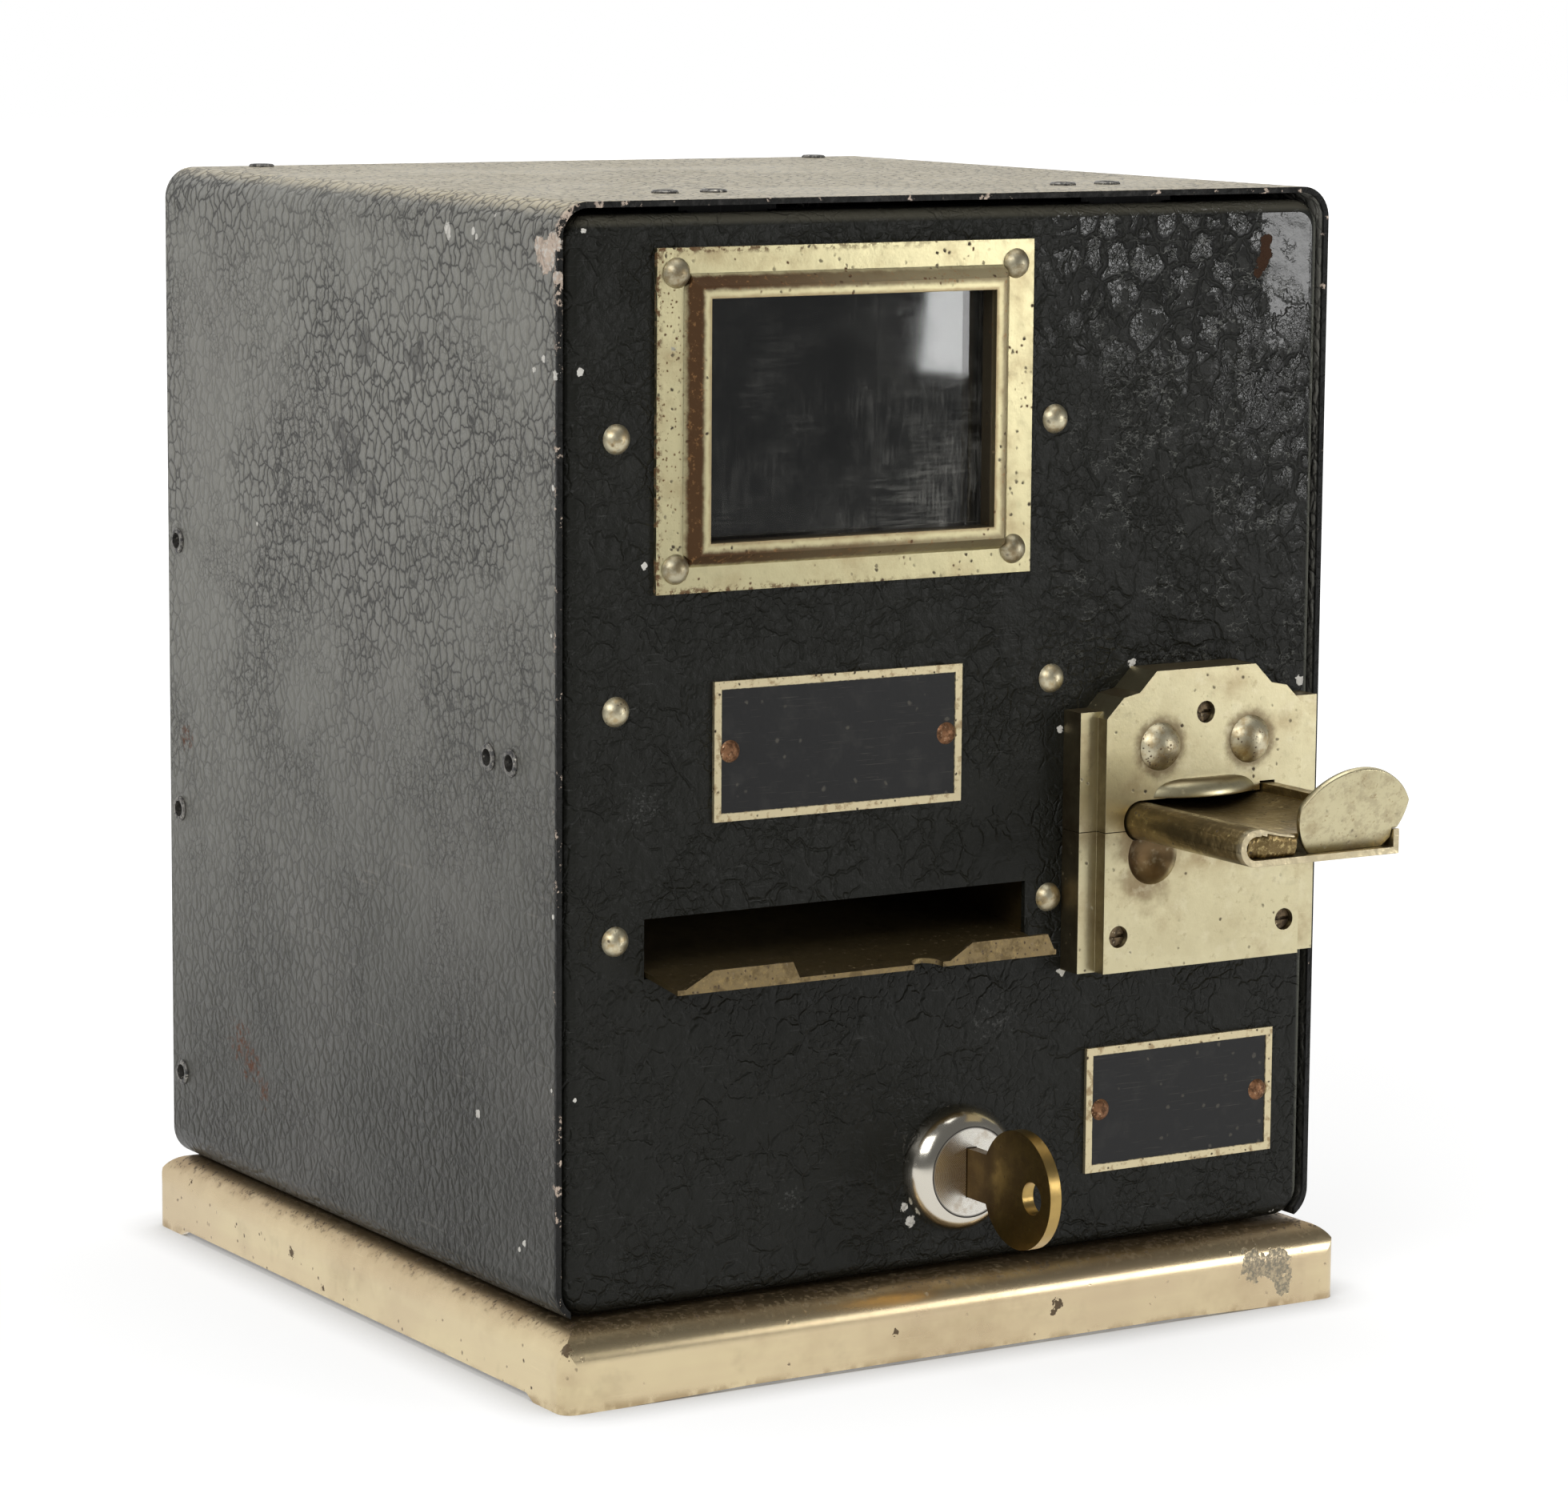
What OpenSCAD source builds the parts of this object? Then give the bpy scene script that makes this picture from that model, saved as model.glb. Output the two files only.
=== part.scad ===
// Counter vendor for single cigarettes: a folded sheet cabinet on a pressed base, with a
// top-hinged door that carries the window, the hopper, the vend drum, the coin head and the lock.
// Origin: middle of the base's underside. The front faces -Y and +Z is up. Millimetres.
// Modules below work from the cabinet's front plane: y grows inwards, z from the cabinet's bottom.

/* [Cabinet] */
// Outside width of the folded wrap
cab_w = 181; // [178:1:220]
// Distance from the wrap's left side to the hopper
left_margin = 17.95; // [17.5:0.05:30]
// Outside depth of the wrap
cab_d = 171.5; // [140:0.5:220]
// Outside height of the wrap
cab_h = 216; // [214:1:250]
// Thickness of the wrap, door and bracket sheet
sheet = 1.2; // [0.9:0.1:1.5]
// Outside radius of the wrap's long edges
wrap_r = 6.5; // [6:0.5:8]
// Depth of the flange round the back panel
back_flange = 12; // [10:0.5:16]
// How far the back panel sits inside the wrap's back edge
back_recess = 1; // [0.5:0.1:3]

/* [Base] */
// Height of the base
base_h = 16; // [14:0.5:24]
// How far the base stands out at each side
base_side = 2.5; // [1:0.1:6]
// How far the base stands out at the front
base_front = 7.5; // [7:0.1:12]
// How far the base stands out at the back
base_back = 3.5; // [1:0.1:8]
// Radius of the base's top edge
base_edge_r = 6.5; // [4:0.1:7]
// Radius of the base's upright corners
base_corner_r = 3; // [2:0.1:5]
// Thickness of the base sheet
base_sheet = 1.2; // [0.8:0.1:1.6]
// Height of the relief between the feet at each side
relief_side = 1.4; // [0.5:0.1:3]
// Height of the relief between the feet at front and back
relief_front = 0.7; // [0.3:0.1:2]
// Length of each corner foot
foot_len = 12; // [10:0.5:30]
// Gap between the bottom board and the base's rounded edge
board_gap = 0.5; // [0.3:0.1:6]
// Distance of the base bolts from the middle
bolt_x = 32; // [28:0.5:34]
// Distance of the front base bolts from the front plane
bolt_front = 44; // [40:1:60]
// Distance of the back base bolts from the back edge
bolt_back = 27; // [22:1:40]
// Radius of the base bolts
bolt_r = 2.5; // [2:0.1:3]

/* [Eyelets] */
// Hole radius of an eyelet
eyelet_r = 1.7; // [1.2:0.1:2]
// Radius of an eyelet's outer ring
eyelet_ring_r = 2.7; // [2.5:0.1:3.2]
// Distance of the back eyelets from the back edge
eyelet_back = 5; // [4.5:0.1:7]
// Heights of the back eyelets
eyelet_z = [19.5, 77.8, 136.2];
// Distance of the top back eyelets from the middle
eyelet_top_x = 70; // [50:1:76]

/* [Door] */
// Gap between the door and the wrap at each side
door_gap = 0.6; // [0.5:0.1:0.9]
// Gap between the door and the wrap at the top
door_gap_top = 1.5; // [1.4:0.1:2]
// Gap between the door and the base
door_foot = 0.8; // [0.8:0.1:1.2]
// Radius of the door's pressed front edge
door_edge_r = 3; // [2.5:0.1:3.5]
// Distance of the hinge pin from the door's front and top
pivot_in = 3.5; // [3.4:0.1:4]
// Depth of the door pan
door_depth = 14; // [13:0.5:15]
// Distance of the hinges from the middle
hinge_x = 47; // [40:1:52]
// Width of a hinge leaf
hinge_w = 22; // [18:0.5:24]
// Radius of a hinge pin
hinge_pin_r = 0.95; // [0.8:0.05:1]
// Distance of a hinge leaf's eyelets from the front plane
hinge_eyelet_y = 25; // [22:0.5:32]
// Spacing of a hinge leaf's eyelets
hinge_eyelet_gap = 11; // [8:0.5:12]
// Height of the door stops
stop_z = 107.5; // [80:0.5:150]
// Distances of a door stop's eyelets from the front plane
stop_eyelet_y = [18, 27];

/* [Window] */
// Offset of the window's middle from the slot's middle
win_off = 0.6; // [-1:0.1:1]
// Height of the window's middle
win_z = 173.9; // [172:0.1:174]
// Outside width of the window frame
frame_w = 86.4; // [80:0.1:90]
// Outside height of the window frame
frame_h = 66.2; // [60:0.1:67]
// Width of the frame's flat flange at the sides
flange_side = 5.9; // [5.5:0.1:7]
// Width of the frame's flat flange at top and bottom
flange_top = 5; // [4.5:0.1:6]
// Width of the sloped step
slope_w = 2.3; // [1.5:0.1:3]
// Width of the raised ridge
ridge_w = 2.4; // [2:0.1:3]
// Height of the raised ridge over the flange
ridge_h = 2.7; // [1.5:0.1:3.5]
// Thickness of the frame sheet
frame_t = 1; // [0.8:0.1:1.2]
// Thickness of the glass
glass_t = 2; // [1.5:0.1:3]
// Overlap of the glass behind the frame's opening
glass_lap = 1.8; // [1.5:0.1:2]
// Distance of a frame screw from the frame's side edge
screw_in_x = 4.3; // [4:0.1:5]
// Distance of a frame screw from the frame's top or bottom edge
screw_in_z = 4.8; // [4:0.1:5]

/* [Rivets] */
// Head radius of the chassis rivets and frame screws
rivet_r = 2.95; // [2.2:0.05:3]
// Head height of the chassis rivets and frame screws
rivet_h = 2.1; // [1:0.1:2.8]
// Shank radius of the chassis rivets and frame screws
shank_r = 1.5; // [1:0.05:1.6]
// Distance of a chassis rivet from the hopper plate it holds
rivet_out = 3.9; // [3.5:0.1:4]
// Heights of the chassis rivets
rivet_z = [74.2, 118.8, 171];

/* [Plates] */
// Offset of the price plate's middle from the slot's middle
price_off = -0.6; // [-2:0.1:2]
// Height of the price plate's middle
price_z = 109.5; // [100:0.1:120]
// Width and height of the price plate
price_size = [57.3, 27.5];
// Offset of the maker's plate's middle from the coin head's middle
maker_off = 1.2; // [-2:0.1:2]
// Height of the maker's plate's middle
maker_z = 29; // [24:0.1:32]
// Width and height of the maker's plate
maker_size = [47, 26];
// Thickness of the plates
plate_t = 0.8; // [0.6:0.1:1.2]
// Width of a plate's raised border
plate_border = 1.6; // [1:0.1:2]
// Head radius of a plate rivet
plate_rivet_r = 2.2; // [1.8:0.1:2.4]
// Distance of a plate rivet from the plate's end
plate_rivet_in = 3.6; // [3.2:0.1:4.5]

/* [Hopper and tray] */
// Width of the delivery slot
slot_w = 88.7; // [84:0.1:90]
// Lower edge of the delivery slot
slot_z = 66.2; // [64:0.1:68]
// Height of the delivery slot
slot_h = 11.8; // [10:0.1:14]
// Gap between the slot's ends and the hopper plates
hopper_gap = 1.4; // [1:0.1:2]
// Room between the window frame's sides and the hopper plates
frame_room = 1.5; // [1:0.1:3]
// Depth of the hopper behind the front plane
hopper_d = 62; // [62:0.5:75]
// Distance of the hopper's top from the wrap's top
hopper_drop = 12; // [12:0.5:30]
// Width of the hopper plates' riveted flange
hopper_flange = 8; // [7:0.1:8]
// How far the tray stands out in front
tray_out = 12; // [8:0.5:18]
// Thickness of the tray sheet
tray_t = 1; // [0.8:0.1:1.2]
// Rise of the tray floor from front to back
tray_rise = 9; // [6:0.5:10]
// Height of the tray's upturned lips
lip_h = 3.2; // [2:0.1:4]
// Length of the left lip
lip_left = 28; // [20:0.5:32]
// Length of the right lip
lip_right = 27; // [20:0.5:32]
// Radius of the finger notch
notch_r = 3.4; // [2:0.1:5]

/* [Vend drum] */
// Distance of the drum's axis from the front plane
drum_y = 46; // [46:0.5:48]
// Height of the drum's axis
drum_z = 98; // [97.8:0.1:98.4]
// Radius of the drum
drum_r = 13; // [11:0.1:13.5]
// Number of cigarette flutes
flutes = 2; // [1:1:4]
// Radius of a flute
flute_r = 4.6; // [4:0.1:5]
// Radius of the drum's shaft
shaft_r = 3; // [2.5:0.1:4]
// Teeth on the pinion
pinion_teeth = 20; // [20:4:20]
// Module of the pinion and the rack
gear_m = 1; // [1:0.1:1]
// Face width of the pinion and the rack
gear_w = 6; // [5:0.1:7]

/* [Coin head] */
// Gap between the rivet column and the coin head
head_gap = 0.35; // [0.3:0.05:3]
// Width of the raised front plate
head_w = 48.9; // [47:0.1:50]
// Width of the left ear beside the front plate
ear_left = 4.3; // [3:0.1:4.4]
// Width of the right ear beside the front plate
ear_right = 5.9; // [3:0.1:6]
// Lower edge of the coin head
head_z = 59; // [58:0.1:60]
// Height of the ears
ear_h = 53.2; // [52:0.1:54]
// Thickness of the ears
ear_t = 6; // [4:0.1:7]
// Height of the front plate up to its first chamfer
head_side_h = 52; // [51:0.1:53]
// Run of each chamfer
chamfer = 4.1; // [3:0.1:4.5]
// Run of the level step between the chamfers
step_w = 3.9; // [2:0.1:5]
// Distance of the front plate's face from the door
head_t = 9; // [8:0.1:10]
// Wall in front of the hollow inside
head_wall = 4; // [3:0.1:4.5]
// Height of the seam between the castings
seam_z = 87.8; // [87:0.1:89]
// Width of the seam
seam_gap = 0.15; // [0.1:0.05:0.3]
// Distance of the lower screws from the middle
head_screw_x = 20.8; // [20:0.1:21]
// Height of the lower screws
head_screw_z = 66.4; // [66:0.1:67]
// Height of the top screw
head_top_screw_z = 110.9; // [110.5:0.1:112]
// Distance of the dome rivets from the middle
dome_x = 11.2; // [9:0.1:14]
// Height of the dome rivets
dome_z = 104.6; // [104:0.1:105]
// Radius of the dome rivets
dome_r = 4.9; // [3.5:0.1:5]
// How far the arched lip stands out
arch_out = 4; // [2:0.1:6]
// Radius of the arched lip
arch_r = 22; // [18:0.5:30]
// Height of the arched lip
arch_h = 3.4; // [2:0.1:4]

/* [Coin slide] */
// Width of the slide
slide_w = 39; // [38:0.1:39.2]
// Height of the rolled edge
slide_h = 7.5; // [7:0.1:8]
// Underside of the slide
slide_z = 86; // [85.8:0.1:86.2]
// Sheet thickness of the slide
slide_t = 1.4; // [1:0.1:1.5]
// Length of the slide in front of the coin head
slide_out = 39; // [38:0.5:44]
// Depth of the dished top
dish = 2.2; // [1:0.1:2.4]
// Width of the rail
rail_w = 3; // [2:0.1:3.5]
// Height of the rail over the rolled edge
rail_up = 1.8; // [1:0.1:2]
// Width of the thumb tab
thumb_w = 26.6; // [22:0.1:28]
// Height of the thumb tab along its face
thumb_h = 17.9; // [15:0.1:20]
// Radius of the thumb tab's top
thumb_top_r = 15.3; // [14.5:0.1:18]
// Forward lean of the thumb tab in degrees
thumb_lean = 19; // [0:1:20]

/* [Lock and key] */
// Middle of the lock
lock_x = 1.8; // [0:0.1:3]
// Height of the lock's axis
lock_z = 20.9; // [20.4:0.1:22]
// Radius of the lock's domed scalp
scalp_r = 13; // [12.5:0.1:14]
// Radius of the dome on the scalp
scalp_dome = 6; // [5.5:0.1:6.4]
// Radius of the lock body
barrel_r = 11; // [10.5:0.1:11.2]
// Length of the lock body behind the front plane
barrel_len = 20; // [18:0.5:22]
// Radius of the plug
plug_r = 9.3; // [8.8:0.1:9.4]
// Reach of the cam
cam_reach = 16.5; // [15.5:0.1:17]
// Height of the strike
strike_h = 9; // [8:0.1:9.5]
// Radius of the key's bow
bow_r = 11.9; // [10:0.1:13]
// Thickness of the key's bow
bow_t = 2.6; // [2.2:0.1:3]
// Distance of the bow's middle from the plug's face
bow_out = 18; // [16:0.1:22]
// Height of the key's blade
blade_h = 10; // [8:0.1:10.4]
// Thickness of the key's blade
blade_t = 2.2; // [1.6:0.1:2.2]
// Length of the blade in the plug
blade_len = 22; // [18:0.5:23]
// Radius of the hole in the bow
bow_hole_r = 3.3; // [3:0.1:4]

/* [Cash box] */
// Distance of the cash box's left side from the coin head's middle
box_in = 15.2; // [13:0.1:17]
// Gap between the cash box and the wrap's rounded edge
box_side = 0.5; // [0.4:0.1:3]
// Front of the cash box
box_front = 18; // [17:0.5:22]
// Length of the cash box
box_len = 62; // [50:0.5:70]
// Height of the cash box
box_h = 32; // [20:0.5:34]
// Sheet of the cash box and the chute
box_t = 1; // [0.8:0.1:1.2]
// Width of the chute
chute_w = 23; // [20:0.5:24]
// Depth of the chute
chute_d = 26; // [20:0.5:30]
// Lower end of the chute
chute_z = 42; // [40:0.5:50]

/* [Hidden] */
$fn = 64;
hull_fn = 32;

// Clearances: a close fit within one body, a running fit, and air between moving bodies
fit = 0.05;
run = 0.05;
air = 0.4;
eps = 1;

// Places add up from the left: margin, hopper, rivet column, coin head
hopper_w = max(slot_w + 2 * hopper_gap, frame_w + 2 * frame_room);
rivet_right = sheet + rivet_out - 0.9;
rivet_column = rivet_right + rivet_r + head_gap;
hopper_l = left_margin - cab_w / 2;
hopper_r = hopper_l + hopper_w;
slot_x = hopper_l + hopper_w / 2;
win_x = slot_x + win_off;
price_x = slot_x + price_off;
head_x = hopper_r + rivet_column + ear_left + head_w / 2;
maker_x = head_x + maker_off;
box_x = head_x - box_in;

// The hopper hangs from the wrap's top
hopper_top = cab_h - hopper_drop;

base_w = cab_w + 2 * base_side;
base_d = cab_d + base_front + base_back;
front_y = base_front - base_d / 2;
inner_top = cab_h - sheet;
inner_side = cab_w / 2 - sheet;

door_w = cab_w - 2 * (sheet + door_gap);
door_r = wrap_r - 0.5;
door_top = inner_top - door_gap_top;
door_h = door_top - door_foot;
door_mid = door_foot + door_h / 2;
pivot_y = pivot_in;
pivot_z = door_top - pivot_in;
eye_r = hinge_pin_r + 0.95;
leaf_t = 1.5;
leaf_drop_y = pivot_y + 7;
ear_t_hinge = 1.5;
ear_x = hinge_w / 2 + 1.2;

eyelet_wall = 0.4;
eyelet_flange = 0.6;
stop_tab = 9;
stop_h = 26;
stop_top = stop_z + stop_h * 0.62;
stop_len = 34;

frame_open_w = frame_w - 2 * (flange_side + slope_w + ridge_w);
frame_open_h = frame_h - 2 * (flange_top + slope_w + ridge_w);
frame_face = frame_t + ridge_h;
door_open_w = frame_open_w + 2 * (frame_t + air);
door_open_h = frame_open_h + 2 * (frame_t + air);
glass_back = sheet + glass_t;
retainer_t = 1;
nut_t = 2.2;

hopper_back_y = hopper_d - sheet - 0.8;
tray_w = slot_w - 0.9;
tray_back = drum_y + drum_r;
tray_z = slot_z + 0.3 + tray_t;
tray_slope = tray_rise / (tray_out + tray_back);

pitch_r = gear_m * pinion_teeth / 2;
pitch = PI * gear_m;
slide_travel = PI * pitch_r;
rack_line = drum_z - pitch_r;
gear_x = head_x - 14.2;
shaft_l = hopper_l - sheet - 3.3;
shaft_end = gear_x + gear_w + 3;

slide_l = head_x - slide_w / 2;
slide_front = -head_t - slide_out;
slide_back = 2;
rail_in = 2.2;
rail_x = slide_l + slide_w - rail_in - rail_w;
thumb_x = head_x + 7.2;
lip_in = slide_l + slide_w - slide_t;
lip_up = 3.6;
clamp_t = 2;
clamp_half = head_w / 2 + 1.05;
clamp_back = sheet + clamp_t;
cavity_half = head_w / 2 - 4.45;
cavity_z = [72, 99];
head_insert_half = head_w / 2 - 2.05;
head_insert_z = [63.5, 107.5];
rack_floor = slide_z - 3.7;
guide_wall = 2.5;

plug_face = sqrt(scalp_dome ^ 2 - (scalp_r - scalp_dome - plug_r) ^ 2) - 0.1;
cam_t = 2;
lock_nut_t = 4;
cam_y = barrel_len + 1.2;
tail_r = 4;

// Extrude an X-Z outline from depth y0 to depth y1
module slab(y0, y1) {
    translate([0, y1, 0])
        rotate([90, 0, 0])
            linear_extrude(height = y1 - y0)
                children();
}

// Extrude a Y-Z outline from x0 to x1
module bar(x0, x1) {
    translate([x0, 0, 0])
        rotate([90, 0, 90])
            linear_extrude(height = x1 - x0)
                children();
}

// Round rod along Y at [x, z]
module rod(p, y0, y1, r) {
    translate([p[0], y0, p[1]])
        rotate([-90, 0, 0])
            cylinder(h = y1 - y0, r = r);
}

// Round rod along X at [y, z]
module rod_x(p, x0, x1, r) {
    translate([x0, p[0], p[1]])
        rotate([0, 90, 0])
            cylinder(h = x1 - x0, r = r);
}

module box(x0, x1, y0, y1, z0, z1) {
    translate([x0, y0, z0])
        cube([x1 - x0, y1 - y0, z1 - z0]);
}

// Move from the front plane's frame to the part's frame
module at_front() {
    translate([0, front_y, base_h])
        children();
}

// Outline of a rectangle with round corners, about its middle
module round_rect(w, h, r) {
    square([w - 2 * r, h], center = true);
    square([w, h - 2 * r], center = true);
    for (sx = [-1, 1], sy = [-1, 1])
        translate([sx * (w / 2 - r), sy * (h / 2 - r)])
            circle(r);
}

// Outline with square feet and round shoulders, from y = 0 up to h
module round_top(w, h, r) {
    translate([-w / 2, -eps])
        square([w, h - r + eps]);
    translate([-w / 2 + r, 0])
        square([w - 2 * r, h]);
    for (s = [-1, 1])
        translate([s * (w / 2 - r), h - r])
            circle(r);
}

// Low dome of base radius a and height h, on z = 0
module dome(a, h) {
    ball = (a * a + h * h) / (2 * h);
    intersection() {
        translate([0, 0, h - ball])
            sphere(ball);
        cylinder(h = h + eps, r = a);
    }
}

// Dome-headed fastener at [x, z]: the head sits at depth y0 and the shank ends at y1
module dome_fastener(p, y0, y1, head_r, head_h, r) {
    translate([p[0], y0, p[1]])
        rotate([90, 0, 0])
            dome(head_r, head_h);
    rod(p, y0, y1, r);
}

// Clenched tail of a rivet at [x, z]
module tail(p, y0, r, h) {
    rod(p, y0, y0 + h, r);
}

// Rolled hollow rivet: its ring sits on z = 0 and it clenches below the stack of sheets
module eyelet(stack) {
    barrel = eyelet_r + eyelet_wall;
    rim = eyelet_flange / 2;
    rotate_extrude()
        polygon([
            [eyelet_r, eyelet_flange], [eyelet_ring_r - rim, eyelet_flange], [eyelet_ring_r, rim],
            [eyelet_ring_r, 0], [barrel, 0], [barrel, -stack], [eyelet_ring_r, -stack],
            [eyelet_ring_r, -stack - rim], [eyelet_r, -stack - rim]
        ]);
}

// Places of the eyelets on one side (s = -1 left, 1 right)
module on_side(s, y, z) {
    translate([s * cab_w / 2, y, z])
        rotate([0, s * 90, 0])
            children();
}

module on_back_eyelets() {
    for (s = [-1, 1], z = eyelet_z)
        on_side(s, cab_d - eyelet_back, z)
            children();
    for (s = [-1, 1])
        translate([s * eyelet_top_x, cab_d - eyelet_back, cab_h])
            children();
}

module on_stop_eyelets() {
    for (s = [-1, 1], y = stop_eyelet_y)
        on_side(s, y, stop_z)
            children();
}

module on_hinge_eyelets() {
    for (s = [-1, 1], t = [-1, 1])
        translate([s * hinge_x + t * hinge_eyelet_gap / 2, hinge_eyelet_y, cab_h])
            children();
}

module eyelet_hole(stack) {
    translate([0, 0, -stack - eps])
        cylinder(h = stack + 2 * eps, r = eyelet_r + eyelet_wall + fit);
}

module on_base_bolts() {
    for (s = [-1, 1], y = [bolt_front, cab_d - bolt_back])
        translate([s * bolt_x, front_y + y, 0])
            children();
}

// Base

module base_form(inset) {
    w = base_w - 2 * inset;
    d = base_d - 2 * inset;
    h = base_h - inset;
    edge = base_edge_r - inset;
    intersection() {
        translate([0, 0, -eps])
            linear_extrude(height = h + 2 * eps)
                round_rect(w, d, max(base_corner_r - inset, 0.8));
        bar(-w, w)
            round_top(d, h, edge);
        slab(-d, d)
            round_top(w, h, edge);
    }
}

// Relief outline between two feet of an edge, with sloped ends
module relief(len, high, slope) {
    half = len / 2 - foot_len;
    polygon([
        [-half, -eps], [-half, 0], [slope - half, high], [half - slope, high], [half, 0], [half, -eps]
    ]);
}

module base_pan() {
    color([0.78, 0.73, 0.62])
        difference() {
            base_form(0);
            base_form(base_sheet);
            translate([-base_w, -base_d, -2 * eps])
                cube([2 * base_w, 2 * base_d, 2 * eps]);
            bar(-base_w, base_w)
                relief(base_d, relief_side, 3);
            slab(-base_d, base_d)
                relief(base_w, relief_front, 30);
            on_base_bolts()
                cylinder(h = base_h + eps, r = bolt_r + fit);
        }
}

bolt_head_r = bolt_r * 2;
bolt_nut_h = bolt_r * 1.6;
bolt_head_z = 1.5;
bolt_head_h = 3;

module base_board() {
    w = base_w - 2 * (base_edge_r + board_gap);
    d = base_d - 2 * (base_edge_r + board_gap);
    color([0.35, 0.26, 0.18])
        difference() {
            linear_extrude(height = base_h - base_sheet)
                round_rect(w, d, base_edge_r);
            on_base_bolts() {
                translate([0, 0, -eps])
                    cylinder(h = bolt_head_z + bolt_head_h + eps, r = bolt_head_r + air);
                cylinder(h = base_h, r = bolt_r + fit);
            }
        }
}

module base_bolts() {
    color([0.6, 0.6, 0.58])
        on_base_bolts() {
            translate([0, 0, bolt_head_z])
                cylinder(h = bolt_head_h, r = bolt_head_r);
            translate([0, 0, bolt_head_z])
                cylinder(h = base_h + sheet + 5 - bolt_head_z, r = bolt_r);
        }
}

module base_nuts() {
    color([0.6, 0.6, 0.58])
        on_base_bolts()
            translate([0, 0, base_h + sheet])
                difference() {
                    cylinder(h = bolt_nut_h, r = bolt_r * 1.9, $fn = 6);
                    translate([0, 0, -eps])
                        cylinder(h = bolt_nut_h + 2 * eps, r = bolt_r + fit);
                }
}

// Cabinet

module wrap_outline(inset) {
    translate([0, cab_h / 2])
        round_rect(cab_w - 2 * inset, cab_h - 2 * inset, wrap_r - inset);
}

// The wrap's floor is cut back at the front, so that the door comes down to the base
module cabinet_wrap() {
    cut = cab_w / 2 - wrap_r + 3.2;
    color([0.16, 0.16, 0.16])
        difference() {
            at_front()
                difference() {
                    slab(0, cab_d)
                        wrap_outline(0);
                    slab(-eps, cab_d + eps)
                        wrap_outline(sheet);
                    box(-cut, cut, -eps, door_depth + air, -eps, 2 * sheet + 0.2);
                    on_back_eyelets()
                        eyelet_hole(sheet);
                    on_stop_eyelets()
                        eyelet_hole(sheet);
                    on_hinge_eyelets()
                        eyelet_hole(sheet);
                }
            on_base_bolts()
                translate([0, 0, base_h - eps])
                    cylinder(h = sheet + 2 * eps, r = bolt_r + fit);
        }
}

module back_panel() {
    back = cab_d - back_recess;
    color([0.14, 0.14, 0.14])
        at_front()
            difference() {
                slab(back - back_flange, back)
                    wrap_outline(sheet + fit);
                slab(back - back_flange - eps, back - sheet)
                    wrap_outline(2 * sheet + fit);
                on_back_eyelets()
                    eyelet_hole(2 * sheet + fit);
            }
}

module back_eyelets() {
    color([0.3, 0.3, 0.3])
        at_front()
            on_back_eyelets()
                eyelet(2 * sheet + fit);
}

module stop_bracket(s) {
    side = s * inner_side;
    leg_in = side - s * sheet;
    tab_in = side - s * stop_tab;
    y0 = door_depth + air;
    low = stop_top - stop_h;
    color([0.45, 0.45, 0.43])
        at_front()
            difference() {
                union() {
                    box(min(side, leg_in), max(side, leg_in), y0, stop_len, low, stop_top);
                    box(min(side, tab_in), max(side, tab_in), y0, y0 + sheet, stop_z + 4, stop_top);
                }
                on_stop_eyelets()
                    eyelet_hole(2 * sheet);
            }
}

module stop_bracket_left() { stop_bracket(-1); }

module stop_bracket_right() { stop_bracket(1); }

module stop_eyelets() {
    color([0.3, 0.3, 0.3])
        at_front()
            on_stop_eyelets()
                eyelet(2 * sheet);
}

// Gooseneck hinge leaf: under the cabinet's top, down behind the door's flange, forward to the pin
module hinge_leaf(s) {
    arm_z = pivot_z - eye_r - leaf_t - 1;
    arm_half = hinge_w / 2 - 2;
    leaf_end = hinge_eyelet_y + 8;
    color([0.5, 0.5, 0.48])
        at_front()
            difference() {
                translate([s * hinge_x, 0, 0]) {
                    box(-hinge_w / 2, hinge_w / 2, leaf_drop_y, leaf_end, inner_top - leaf_t, inner_top);
                    box(-arm_half, arm_half, leaf_drop_y, leaf_drop_y + leaf_t, arm_z, inner_top);
                    box(-arm_half, arm_half, pivot_y - leaf_t / 2, leaf_drop_y + leaf_t, arm_z, arm_z + leaf_t);
                    box(-arm_half, arm_half, pivot_y - leaf_t / 2, pivot_y + leaf_t / 2, arm_z, pivot_z);
                    rod_x([pivot_y, pivot_z], -arm_half, arm_half, eye_r);
                }
                rod_x([pivot_y, pivot_z], -cab_w, cab_w, hinge_pin_r + run);
                on_hinge_eyelets()
                    eyelet_hole(sheet + leaf_t);
            }
}

module hinge_leaf_left() { hinge_leaf(-1); }

module hinge_leaf_right() { hinge_leaf(1); }

module hinge_eyelets() {
    color([0.3, 0.3, 0.3])
        at_front()
            on_hinge_eyelets()
                eyelet(sheet + leaf_t);
}

// Angle on the cabinet floor that the lock's cam turns in behind
module lock_strike() {
    half = 9;
    y1 = cam_y - 0.6;
    color([0.5, 0.5, 0.48])
        at_front()
            translate([lock_x, 0, sheet]) {
                box(-half, half, y1 - sheet, y1, 0, strike_h - sheet);
                box(-half, half, y1 - sheet, y1 + 12, 0, sheet);
            }
}

module cash_box() {
    x1 = cab_w / 2 - wrap_r - box_side;
    color([0.42, 0.43, 0.42])
        at_front()
            difference() {
                box(box_x, x1, box_front, box_front + box_len, sheet, sheet + box_h);
                box(box_x + box_t, x1 - box_t, box_front + box_t, box_front + box_len - box_t,
                    sheet + box_t, sheet + box_h + eps);
            }
}

// Door

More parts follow.
